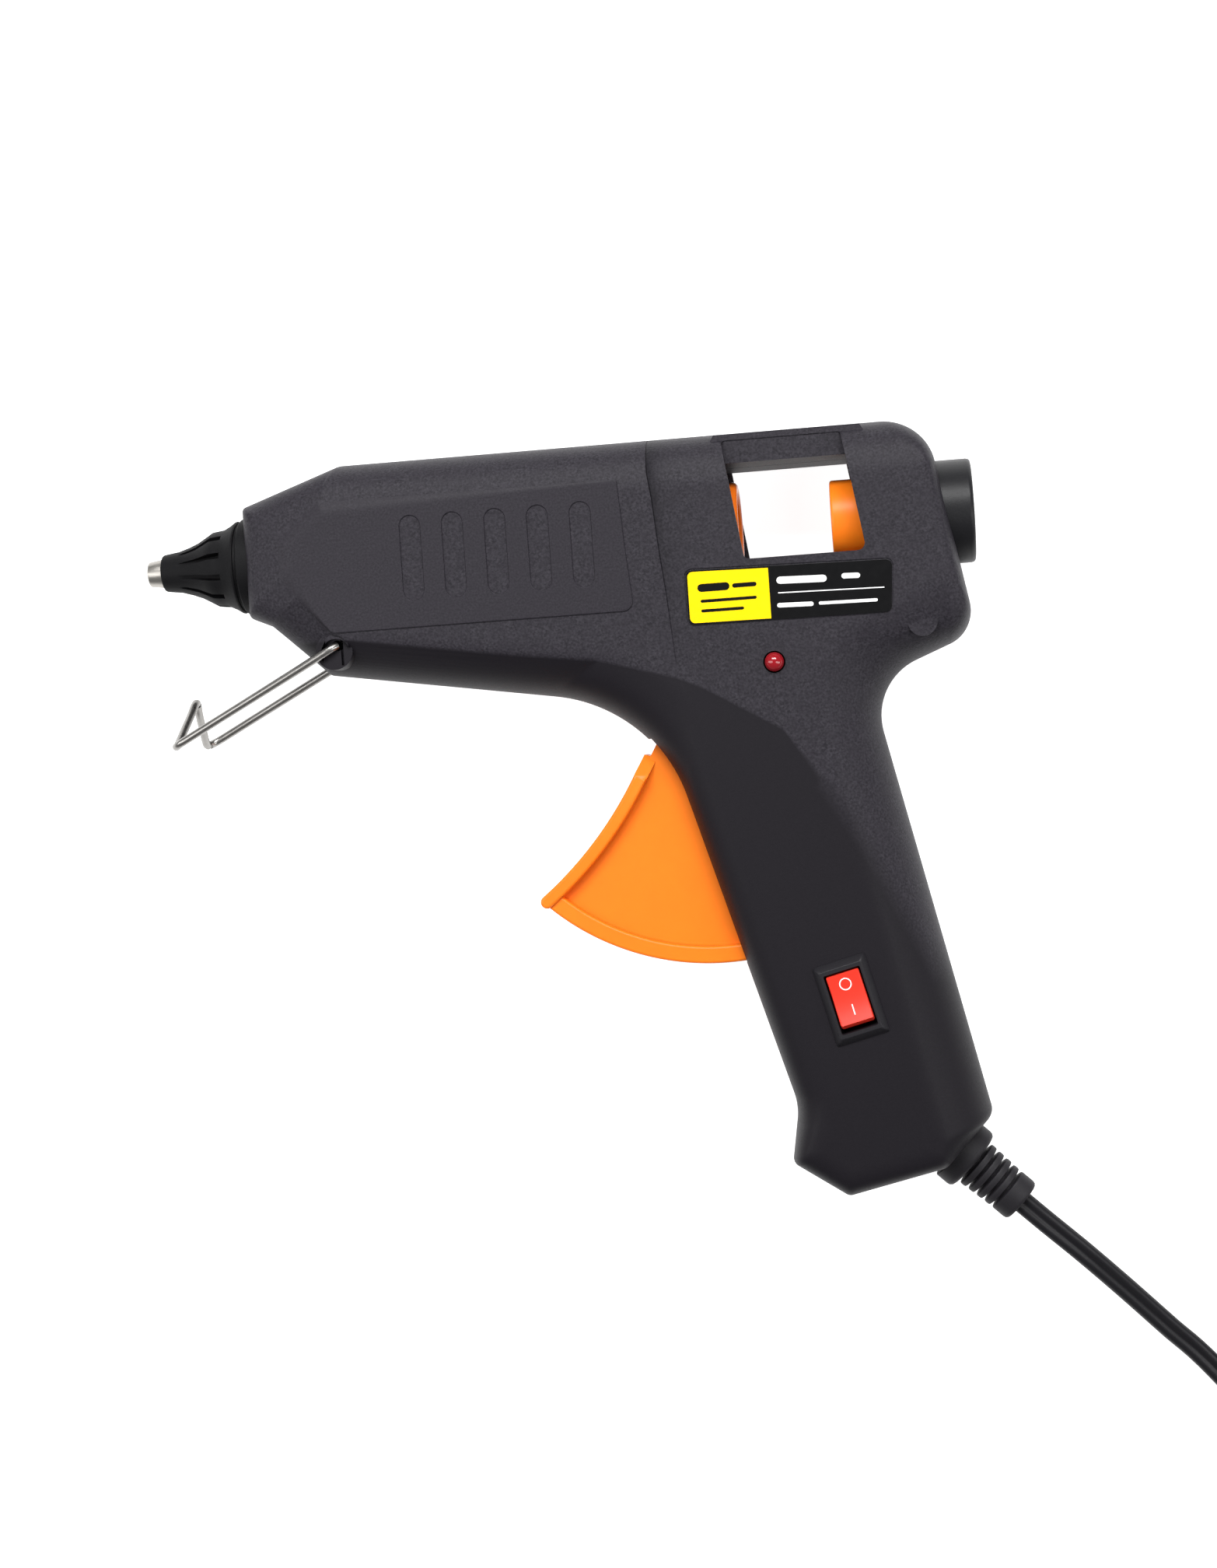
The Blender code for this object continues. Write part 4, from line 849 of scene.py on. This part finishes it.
def window_loop(top):
    """The sight window in the side of the barrel, up to a given height."""
    left = 141.9 - (top + 7.0) * 3.5 / 25.9
    right = 169.4 - (top + 6.6) * 4.0 / 25.7
    corners = [(left, top, 0.8), (right, top, 0.8), (169.6, -8.2, 1.7), (142.1, -8.2, 1.3)]
    return rounded(corners, 8)


def label_loop(grow=0.0):
    """The label's outline, moved outward by grow."""
    corners = [(128.6, -9.8, 1.4), (175.1, -10.7, 1.4), (174.3, -22.5, 1.4), (128.6, -22.2, 1.4)]
    return shrink(rounded(corners, 8), -grow)


def shell_openings(side):
    """Solids that cut a half's openings."""
    relief = ((*RELIEF_ORIGIN, MID), RELIEF_ALONG)
    pieces = [
        rod("tool", (18.0, 0.0, MID), (33.0, 0.0, MID), MOUTH_RADIUS, 72),
        rod("tool", (183.4, 0.0, MID), (205.0, 0.0, MID), REAR_HOLE_RADIUS, 72),
        slab("tool", window_loop(13.9), -1.0, THICKNESS + 1.0),
        side_slab(window_loop(19.2), 11.3, 17.5, side),
        slab("tool", [TRIGGER_PIVOT] + arc(TRIGGER_PIVOT, TRIGGER_SLOT_RADIUS, 203.0, 290.0, 60),
             MID - TRIGGER_SLOT_HALF, MID + TRIGGER_SLOT_HALF),
        lathe("tool", [(7.7, -0.3), (7.7, 12.0)], *relief, 64, RELIEF_FLATTEN),
        lathe("tool", [(6.6, -5.2), (6.6, -2.1), (5.2, -2.1), (5.2, 0.0)], *relief, 48, RELIEF_FLATTEN),
        side_slab(circle(STAND_PIVOT, STAND_HOLE_RADIUS, 24), 10.2, 17.5, side),
        side_slab(arc(STAND_PIVOT, 14.0, 196.0, 343.0, 40) + arc(STAND_PIVOT, 2.4, 343.0, 556.0, 32),
                  14.25, 18.0, side),
        side_slab(oblong_at(47.9, -25.4, 48.5, -18.6), 12.9, 14.6, side),
    ]
    if side > 0:
        pieces += [
            rod("tool", (*LAMP_CENTRE, 28.0), (*LAMP_CENTRE, 35.0), 2.5, 40),
            block("tool", (-5.7, -8.9, 28.0), (5.7, 8.9, 35.0), SWITCH_CENTRE, SWITCH_TURN_DEG),
            slab("tool", label_loop(0.35), FACE_Z - 0.3, THICKNESS + 1.0),
        ]
    for centre, _ in SCREWS:
        if side > 0:
            pieces.append(rod("tool", (*centre, MID - 1.0), (*centre, 25.6), SCREW_HOLE_RADIUS, 16))
        else:
            well = [(3.3, -1.0), (3.0, 0.6), (3.0, 5.5), (SCREW_HOLE_RADIUS, 5.5), (SCREW_HOLE_RADIUS, 20.0)]
            pieces.append(lathe("tool", well, (*centre, 0.0), (0, 0, 1), 32))
    return pieces


# The raised panel's outline: the flat side's nose, its top edge, and the lip before the step
PANEL_CORNERS = [
    (46.7, -18.0, 1.4), (38.6, -9.2, 4.0), (34.9, -4.6, 3.0), (35.2, 4.2, 3.0), (45.2, 12.3, 2.0),
    (114.5, 11.9, 0.7), (115.3, -2.5, 60.0), (116.5, -18.0, 2.3),
]

DIMPLES = 5
FIRST_DIMPLE_X = 66.3
DIMPLE_PITCH = 9.83


def panel_loop(back):
    return rounded(inset(PANEL_CORNERS, 0.03 + back), 8)


def panel_blank(name, side):
    """The raised panel: it eases into the crease at the nose and top, and ends in a crisp step elsewhere."""
    rows = []
    for (soft_in, soft_z), (crisp_in, crisp_z) in zip(PANEL_SOFT_EDGE, PANEL_CRISP_EDGE):
        row = []
        for (x, y), far, near in zip(panel_loop(0.0), panel_loop(soft_in), panel_loop(crisp_in)):
            share = min(max((y + 17.0) / 5.0, 0.0), 1.0) * min(max((113.5 - x) / 3.0, 0.0), 1.0)
            place = [a + (b - a) * share for a, b in zip((*near, crisp_z), (*far, soft_z))]
            row.append(at(place[0], place[1], MID + side * (MID + place[2])))
        rows.append(row)
    return stack(name, rows)


def make_shells():
    for name, side in (("left_shell", 1), ("right_shell", -1)):
        shell = shell_blank(name + "_moulding", side)
        carve(shell, shell_supports(side), "UNION")
        carve(shell, shell_openings(side), overlapping=True)
        dress(shell, "charcoal_plastic", [name], sharp_deg=32.0)
        panel = panel_blank(name + "_panel", side)
        dimples = []
        for index in range(DIMPLES):
            x = FIRST_DIMPLE_X + DIMPLE_PITCH * index
            rows = [(2.4, MID - 1.2), (2.4, MID - 0.22), (2.62, MID + 0.02), (2.7, MID + 0.3)]
            loops = [[at(a, b, MID + side * z) for a, b in obround((x, 5.2), (x, -9.4), r)] for r, z in rows]
            dimples.append(stack("tool", loops))
        carve(panel, dimples)
        dress(panel, "charcoal_plastic", [name], sharp_deg=60.0, paint="panel_plastic")


# ---- barrel

def make_nozzle():
    tip = [(2.65, 0.0), (2.95, 0.25), (3.4, 3.2), (3.45, 12.0), (6.0, 16.5), (6.0, 26.0), (5.0, 26.0),
           (5.0, 36.0), (3.4, 36.0), (3.4, 12.0), (1.0, 8.0), (1.0, 0.9), (1.5, 0.0)]
    dress(barrel_ring("nozzle", tip, 72), "nickel", ["nozzle_tip"])
    cover = [(3.95, 3.6), (4.22, 3.75), (4.4, 4.1), (4.9, 7.7), (5.7, 10.3), (6.6, 12.6), (7.8, 14.7),
             (8.8, 16.4), (9.0, 17.8), (9.15, 19.2), (10.0, 20.9), (10.8, 22.1), (10.9, 22.4),
             (10.75, 22.7), (10.3, 22.8), (10.2, 23.3), (11.0, 23.5), (11.3, 23.8), (11.3, 30.0),
             (9.2, 30.0), (9.2, 25.6), (6.4, 25.6), (6.4, 16.2), (3.85, 12.2), (3.7, 3.6)]
    guard = carve(barrel_ring("heat_guard", cover, 132), fin_slots(11))
    dress(guard, "black_rubber", ["nozzle_cover"], sharp_deg=34.0)


def fin_slots(count):
    """Narrow slots between the guard's fins, with floors that rise towards the rear."""
    slots = []
    for index in range(count):
        turn = Matrix.Rotation(math.tau * (index + 0.5) / count, 4, "X")
        rows = []
        for x, floor, half in ((7.4, 4.95, 0.25), (10.0, 5.0, 0.45), (17.8, 6.9, 0.72), (19.2, 7.4, 0.72)):
            corners = ((-half, floor), (half, floor), (half, 13.0), (-half, 13.0))
            rows.append([at(0, 0) + turn @ Vector((x, y, z)) * MM for y, z in corners])
        slots.append(stack("tool", rows))
    return slots


def make_sleeve():
    profile = [(8.8, 101.0), (8.8, 124.0), (8.0, 126.0), (8.0, 136.5), (9.0, 137.1), (9.9, 137.7),
               (10.5, 138.4), (10.75, 139.2), (10.7, 139.9), (10.45, 140.5), (10.0, 140.9), (9.4, 141.0),
               (8.6, 140.9), (8.0, 140.3), (6.9, 138.2), (6.3, 137.0), (6.2, 136.0), (6.2, 112.4),
               (7.3, 112.4), (7.3, 101.0)]
    dress(barrel_ring("stick_seal", profile), "orange_silicone", ["stick_sleeve"])


def make_rear_guide():
    profile = [(13.2, 180.4), (13.2, 183.0), (11.9, 183.0), (11.9, LENGTH - 1.0), (11.75, LENGTH - 0.4),
               (11.4, LENGTH - 0.08), (11.0, LENGTH), (9.9, LENGTH), (9.5, LENGTH - 0.15),
               (9.2, LENGTH - 0.5), (6.6, LENGTH - 5.6), (6.4, LENGTH - 6.4), (6.4, 180.4)]
    dress(barrel_ring("stick_inlet", profile), "black_plastic", ["rear_guide"])


def make_carriage():
    front, rear = 162.0, 176.0
    profile = [(8.7, front), (9.1, front + 0.15), (9.25, front + 0.4), (9.3, front + 0.8),
               (9.3, rear - 0.6), (9.1, rear - 0.15), (8.7, rear), (6.2, rear), (6.2, front + 1.0),
               (6.5, front + 0.4), (7.0, front)]
    link_slot = block("tool", (160.0, -21.0, MID - 1.9), (172.6, -8.3, MID + 1.9))
    parts = [carve(barrel_ring("ring", profile), [link_slot])]
    cheek = rounded([(163.0, -19.0, 1.5), (175.0, -19.0, 1.5), (175.0, -7.4, 0.4), (163.0, -7.4, 0.4)], 6)
    for side in (-1, 1):
        pin_hole = slab("tool", circle((168.0, -13.0), 1.6, 32), -5.0, 40.0)
        parts.append(carve(side_slab(cheek, 1.9, 4.0, side, 0.25, "cheek"), [pin_hole]))
        parts.append(side_slab(oblong_at(164.0, -12.9, 174.0, -10.5), 3.8, 9.0, side, 0.25, "tongue"))
    parts.append(block("heel", (172.7, -18.9, MID - 2.2), (174.9, -8.0, MID + 2.2), edge=0.2))
    dress(combine("feed_ring", parts), "orange_plastic", ["feed_carriage"], "feed_carriage")


# ---- trigger and stand

FINGER_CENTRE = (33.8, -10.4)
FINGER_RADIUS = 91.0
FLANGE_THICKNESS = 3.0
FLANGE_TOP_DEG = -26.0
FLANGE_END_DEG = -52.0
RIM_RADIUS = 58.5
RIM_THICKNESS = 4.0
ARM_PIN = (140.0, -18.0)
STAND_WIRE_RADIUS = 0.95
STAND_LEG_Z = 32.0


def flange_corner(side):
    """A wedge that slants the flange's upper corner on one side."""
    start = polar(FINGER_CENTRE, FINGER_RADIUS + FLANGE_THICKNESS / 2, FLANGE_TOP_DEG)
    rows = []
    for across in (-4.0, 4.0):
        row = []
        for down, height in ((-1.5, 3.2), (6.8, 9.2), (-1.5, 9.2)):
            foot = polar(polar(start, across, FLANGE_TOP_DEG), down, FLANGE_TOP_DEG - 90.0)
            row.append(at(*foot, MID + side * height))
        rows.append(row)
    return stack("tool", rows)


def make_trigger():
    """The finger flange, the rim about the pivot, the web between them and the arm inside."""
    pivot = TRIGGER_PIVOT
    tip = polar(FINGER_CENTRE, FINGER_RADIUS + FLANGE_THICKNESS / 2, FLANGE_END_DEG)
    flange = (arc(FINGER_CENTRE, FINGER_RADIUS, FLANGE_TOP_DEG - 0.3, FLANGE_END_DEG, 48)
              + arc(tip, FLANGE_THICKNESS / 2, FLANGE_END_DEG - 180.0, FLANGE_END_DEG, 12)[1:-1]
              + arc(FINGER_CENTRE, FINGER_RADIUS + FLANGE_THICKNESS, FLANGE_END_DEG, FLANGE_TOP_DEG, 48))
    rim = arc(pivot, RIM_RADIUS, 227.6, 284.0, 64) + arc(pivot, RIM_RADIUS - RIM_THICKNESS, 284.0, 226.5, 64)
    web = (arc(FINGER_CENTRE, 92.4, -27.0, -51.5, 24) + arc(pivot, 56.5, 230.0, 283.0, 32)
           + [(137.0, -46.0), (130.3, -37.0), (121.0, -44.0)])
    pieces = [
        slab("web", web, MID - 5.0, MID + 5.0),
        slab("rim", rim, MID - 7.5, MID + 7.5, 0.7, 4),
        carve(slab("flange", flange, MID - 8.5, MID + 8.5, 0.7, 5), [flange_corner(1), flange_corner(-1)]),
        slab("boss", circle(pivot, 6.0), MID - 8.0, MID + 8.0, 0.3),
    ]
    pieces += [side_slab(obround(pivot, ARM_PIN, 4.0), 1.8, 4.9, side, 0.3) for side in (-1, 1)]
    dress(combine("trigger_lever", pieces), "orange_plastic", ["trigger"], "trigger", 50.0)


def make_stand():
    high = STAND_LEG_Z
    px, py = STAND_PIVOT
    half = [
        (px, py, 27.6), (px, py, 29.4), (px, py, 30.6), (px - 0.45, py - 0.25, 31.6),
        (px - 1.8, py - 0.95, high), (38.0, -25.6, high), (27.0, -31.3, high), (18.0, -35.95, high),
        (10.6, -39.8, high), (8.4, -40.9, 31.6), (7.3, -41.4, 30.2), (7.25, -40.9, 28.6),
        (7.8, -37.6, 24.4), (8.4, -34.2, 20.2), (8.75, -32.3, 18.3), (8.9, -31.5, 17.3), (8.95, -31.25, MID),
    ]
    points = half + [(x, y, THICKNESS - z) for x, y, z in reversed(half[:-1])]
    loop = wire("stand_loop", smooth_route(points, 0.9), STAND_WIRE_RADIUS, 24)
    dress(loop, "bright_wire", ["stand_wire"], "stand", 60.0)
    # A crescent rib on each half, beside the stand's hinge
    crescent = arc((46.9, -22.6), 3.3, 20.0, 200.0, 24) + arc((46.9, -21.2), 3.1, 200.0, 20.0, 24)
    for name, side in (("left", 1), ("right", -1)):
        rib = side_slab(crescent, 14.0, 15.4, side, 0.2, name + "_hinge_rib")
        dress(rib, "charcoal_plastic", [name + "_shell"])


# ---- switch, lamp and label

ROCKER_PIVOT_Z = 29.5
ROCKER_TILT = Matrix.Rotation(math.radians(-8.0), 2)
ROCKER_TOP_HALF = 5.7
ROCKER_HALF_WIDTH = 3.85
MARK_FOOT = -0.1
MARK_RISE = 0.06


def on_switch(points):
    """Points measured from the switch's centre, across and along it, as the gun's millimetres."""
    return turned(points, SWITCH_CENTRE, SWITCH_TURN_DEG)


def oblong(half_width, half_length, radius):
    corners = [(-half_width, -half_length, radius), (-half_width, half_length, radius),
               (half_width, half_length, radius), (half_width, -half_length, radius)]
    return rounded(corners, 8)


def switch_stack(name, rows):
    """A solid through oblongs about the switch's centre, as (half width, half length, radius, height)."""
    return stack(name, [[at(x, y, z) for x, y in on_switch(oblong(*sizes))] for *sizes, z in rows])


def make_switch():
    bezel = switch_stack("switch_bezel", [
        (6.1, 9.25, 0.45, FACE_Z - 0.1), (6.15, 9.3, 0.45, FACE_Z + 0.05), (6.1, 9.25, 0.45, FACE_Z + 0.35),
        (4.95, 7.95, 0.45, THICKNESS + 1.3), (4.75, 7.75, 0.45, THICKNESS + 1.35)])
    case = slab("tool", on_switch(oblong(5.4, 8.6, 0.5)), 19.0, FACE_Z + 0.5)
    carve(bezel, [case], "UNION", overlapping=True)
    well = switch_stack("tool", [
        (4.2, 6.75, 0.4, 22.5), (4.2, 6.75, 0.4, THICKNESS + 0.9), (4.25, 6.95, 0.4, THICKNESS + 1.2),
        (4.35, 7.05, 0.4, THICKNESS + 1.8)])
    carve(bezel, [well])
    dress(bezel, "switch_plastic", ["switch_body"], sharp_deg=40.0)
    make_rocker()


def rocker_top(along):
    """The height of the rocker's top before its tilt: two shallow scoops that meet in the middle."""
    return 35.1 - 0.9 * math.sin(math.pi / 2 * (1.0 - abs(along) / ROCKER_TOP_HALF))


def on_rocker(across, along, up):
    along, up = ROCKER_TILT @ Vector((along, up - ROCKER_PIVOT_Z))
    (x, y), = on_switch([(across, along)])
    return at(x, y, up + ROCKER_PIVOT_Z)


def make_rocker():
    """The rocker's side view is carried across it, and its off and on marks follow its top."""
    half = ROCKER_HALF_WIDTH
    outline = [(ROCKER_TOP_HALF * i / 12, rocker_top(ROCKER_TOP_HALF * i / 12)) for i in range(-12, 13)]
    outline += [(6.3, 32.7), (6.2, 31.6), (3.0, 27.2), (-3.0, 27.2), (-6.2, 31.6), (-6.3, 32.7)]
    rows = []
    for across, back in ((-half, 0.35), (-half + 0.1, 0.15), (-half + 0.35, 0.0), (half - 0.35, 0.0),
                         (half - 0.1, 0.15), (half, 0.35)):
        rows.append([on_rocker(across, along, up) for along, up in shrink(outline, back)])
    dress(stack("rocker_cap", rows), "red_plastic", ["rocker"], "rocker", 40.0)

    def mark(edges, closed):
        rows = [[on_rocker(x, y, rocker_top(y) + lift) for x, y in loop] for loop, lift in edges]
        return stack("mark", rows, closed)

    outer, inner = circle((0.0, 3.2), 1.40), circle((0.0, 3.2), 1.13)
    bar = [(x, y - 2.75) for x, y in oblong(0.14, 1.25, 0.12)]
    marks = [
        mark([(outer, MARK_FOOT), (outer, MARK_RISE), (inner, MARK_RISE), (inner, MARK_FOOT)], True),
        mark([(bar, MARK_FOOT), (bar, MARK_RISE)], False),
    ]
    dress(combine("rocker_marks", marks), "label", (), "rocker", 60.0, paint="label_white")


def make_lamp():
    """A low dome on a round stem."""
    radius, stem, rise = 2.2, 6.0, 2.1
    dome = [(radius, 0.0), (radius, stem)]
    for angle in range(6, 90, 6):
        dome.append((radius * math.cos(math.radians(angle)), stem + rise * math.sin(math.radians(angle))))
    dome.append((0.0, stem + rise))
    lens = lathe("lamp_lens", dome, (*LAMP_CENTRE, 26.6), (0, 0, 1), 48)
    dress(lens, "red_lens", ["led_lens"])


def make_label():
    """A two-colour rating label with plain bars where printing would be."""
    top = FACE_Z + 0.02
    film = slab("label_film", label_loop(), top - 0.25, top, 0.05, 2)
    dress(film, "label", ["label_plate"])
    yellow = [(129.0, -10.2, 1.2), (147.3, -10.6, 0.1), (147.3, -22.0, 0.1), (129.0, -21.8, 1.2)]
    field = slab("label_yellow_field", rounded(yellow, 6), top - 0.02, top + 0.015)
    dress(field, "label", paint="label_yellow")
    dark = [((132.0, -14.0), (137.5, -14.0), 0.9), ((139.5, -14.0), (144.0, -14.0), 0.5),
            ((132.0, -17.0), (144.0, -17.0), 0.35), ((132.0, -19.2), (141.0, -19.2), 0.35)]
    pale = [((149.8, -13.6), (159.5, -13.9), 0.8), ((164.2, -13.7), (167.2, -13.8), 0.6),
            ((149.3, -19.2), (156.5, -19.4), 0.5), ((158.5, -19.4), (171.0, -19.6), 0.35),
            ((149.3, -16.4), (172.9, -16.9), 0.12)]
    for name, bars, paint in (("label_dark_bars", dark, "label"), ("label_pale_bars", pale, "label_white")):
        strips = [slab("bar", obround(a, b, r, 6), top - 0.01, top + 0.03) for a, b, r in bars]
        dress(combine(name, strips), "label", paint=paint)


# ---- strain relief, plug and screws

def make_relief():
    """A collar that the halves hold, four ribs on a thin core, and a thicker end."""
    start, pitch, ring, core = 5.4, 2.275, 1.55, 4.0
    profile = [(6.2, -4.6), (6.2, -2.4), (4.8, -2.4), (4.8, 0.0), (7.5, 0.0), (7.75, 0.15), (7.8, 0.4),
               (7.8, 3.2), (7.7, 3.8), (7.3, 4.3), (6.7, 4.5), (core + 0.1, 4.5), (core, 4.7),
               (core, start - 0.1)]
    for index in range(4):
        low = start + pitch * index
        wide = 5.75 - 0.12 * index
        profile += [(wide - 0.4, low), (wide - 0.1, low + 0.12), (wide, low + 0.4), (wide, low + ring - 0.4),
                    (wide - 0.1, low + ring - 0.12), (wide - 0.4, low + ring), (core + 0.1, low + ring),
                    (core, low + ring + 0.1), (core, low + pitch - 0.1)]
    profile += [(4.9, 14.5), (5.25, 14.65), (5.35, 15.0), (5.35, 17.9), (5.2, 18.5), (4.8, 18.85),
                (3.4, 18.9)]
    sleeve = lathe("cord_sleeve", profile, (*RELIEF_ORIGIN, MID), RELIEF_ALONG, 72, RELIEF_FLATTEN)
    dress(sleeve, "black_rubber", ["strain_relief"], sharp_deg=40.0, paint="relief_rubber")


PLUG_X = 311.0
PLUG_NECK_Y = -167.5
PLUG_FACE_Y = -133.0
PLUG_THICKNESS = 12.6
PIN_OFFSET = 9.3


def make_plug():
    """A generic flat plug with grip grooves, and two round pins."""
    x, neck, face = PLUG_X, PLUG_NECK_Y, PLUG_FACE_Y
    half = [(4.5, neck, 1.5), (5.6, neck + 10.0, 3.0), (13.0, neck + 22.0, 6.0), (13.0, face, 1.0)]
    corners = [(x - across, y, r) for across, y, r in half]
    corners += [(x + across, y, r) for across, y, r in reversed(half)]
    body = slab("plug", rounded(corners, 8), 0.0, PLUG_THICKNESS, 0.95, 5)
    grooves = []
    for index in range(3):
        y = neck + 3.0 + 2.6 * index
        for z in (-0.6, PLUG_THICKNESS + 0.6):
            grooves.append(rod("tool", (x - 8.0, y, z), (x + 8.0, y, z), 1.2, 24))
    carve(body, grooves)
    pieces = [dress(body, "black_plastic", ["plug_body"], sharp_deg=40.0)]
    profile = [(2.0, 0.0), (2.0, 17.6), (1.8, 18.2), (1.3, 18.6), (0.0, 18.7)]
    for number, across in ((1, -PIN_OFFSET), (2, PIN_OFFSET)):
        foot = (x + across, face + 0.3, PLUG_THICKNESS / 2)
        pin = lathe(f"contact_pin_{number}", profile, foot, (0, 1, 0), 40)
        pieces.append(dress(pin, "nickel", [f"plug_pin_{number}"]))
    return pieces


def make_screws():
    """Pan heads with cross slots, seen in the wells of the right half."""
    profile = [(0.0, 3.0), (1.6, 3.05), (2.3, 3.35), (2.65, 3.9), (2.7, 5.2), (1.4, 5.2), (1.4, 24.0),
               (0.0, 25.0)]
    for number, (centre, _) in enumerate(SCREWS, 1):
        screw = lathe(f"pan_screw_{number}", profile, (*centre, 0.0), (0, 0, 1), 32)
        slots = [block("tool", (-1.5, -0.3, 2.0), (1.5, 0.3, 4.3), centre, turn) for turn in (20.0, 110.0)]
        carve(screw, slots, overlapping=True)
        dress(screw, "steel", [f"housing_screw_{number}"])


# ---- pieces kept from the CAD model

KEPT = {
    "steel": ["trigger_pin", "link_pin_trigger", "link_pin_carriage", "feed_link", "return_spring",
              "valve_spring", "valve_ball", "sleeve_clamp", "heater_clip", "clamp_screw_1", "clamp_screw_2"],
    "aluminium": ["melt_chamber"],
    "brass": ["contact_plate_upper", "contact_plate_lower", "switch_terminal_1", "switch_terminal_2"],
    "ceramic": ["ptc_heater"],
    "insulation_film": ["heater_insulation"],
    "circuit_board": ["led_board"],
    "resistor_body": ["led_resistor"],
    "black_plastic": ["cord_clamp"],
    "cord_jacket": ["inner_cord"],
    "brown_insulation": ["live_wire", "heater_wire"],
    "blue_insulation": ["neutral_wire"],
    "red_insulation": ["lamp_wire"],
}


def paint_kept():
    for paint, names in KEPT.items():
        for name in names:
            NODES[name].data.materials.clear()
            NODES[name].data.materials.append(PAINTS[paint])


def main():
    make_camera()
    make_lights()
    make_floor()
    cord, places = make_cord()
    plug = make_plug()
    for make in (make_shells, make_nozzle, make_sleeve, make_rear_guide, make_carriage, make_trigger,
                 make_stand, make_switch, make_lamp, make_label, make_relief, make_screws, paint_kept):
        make()


main()
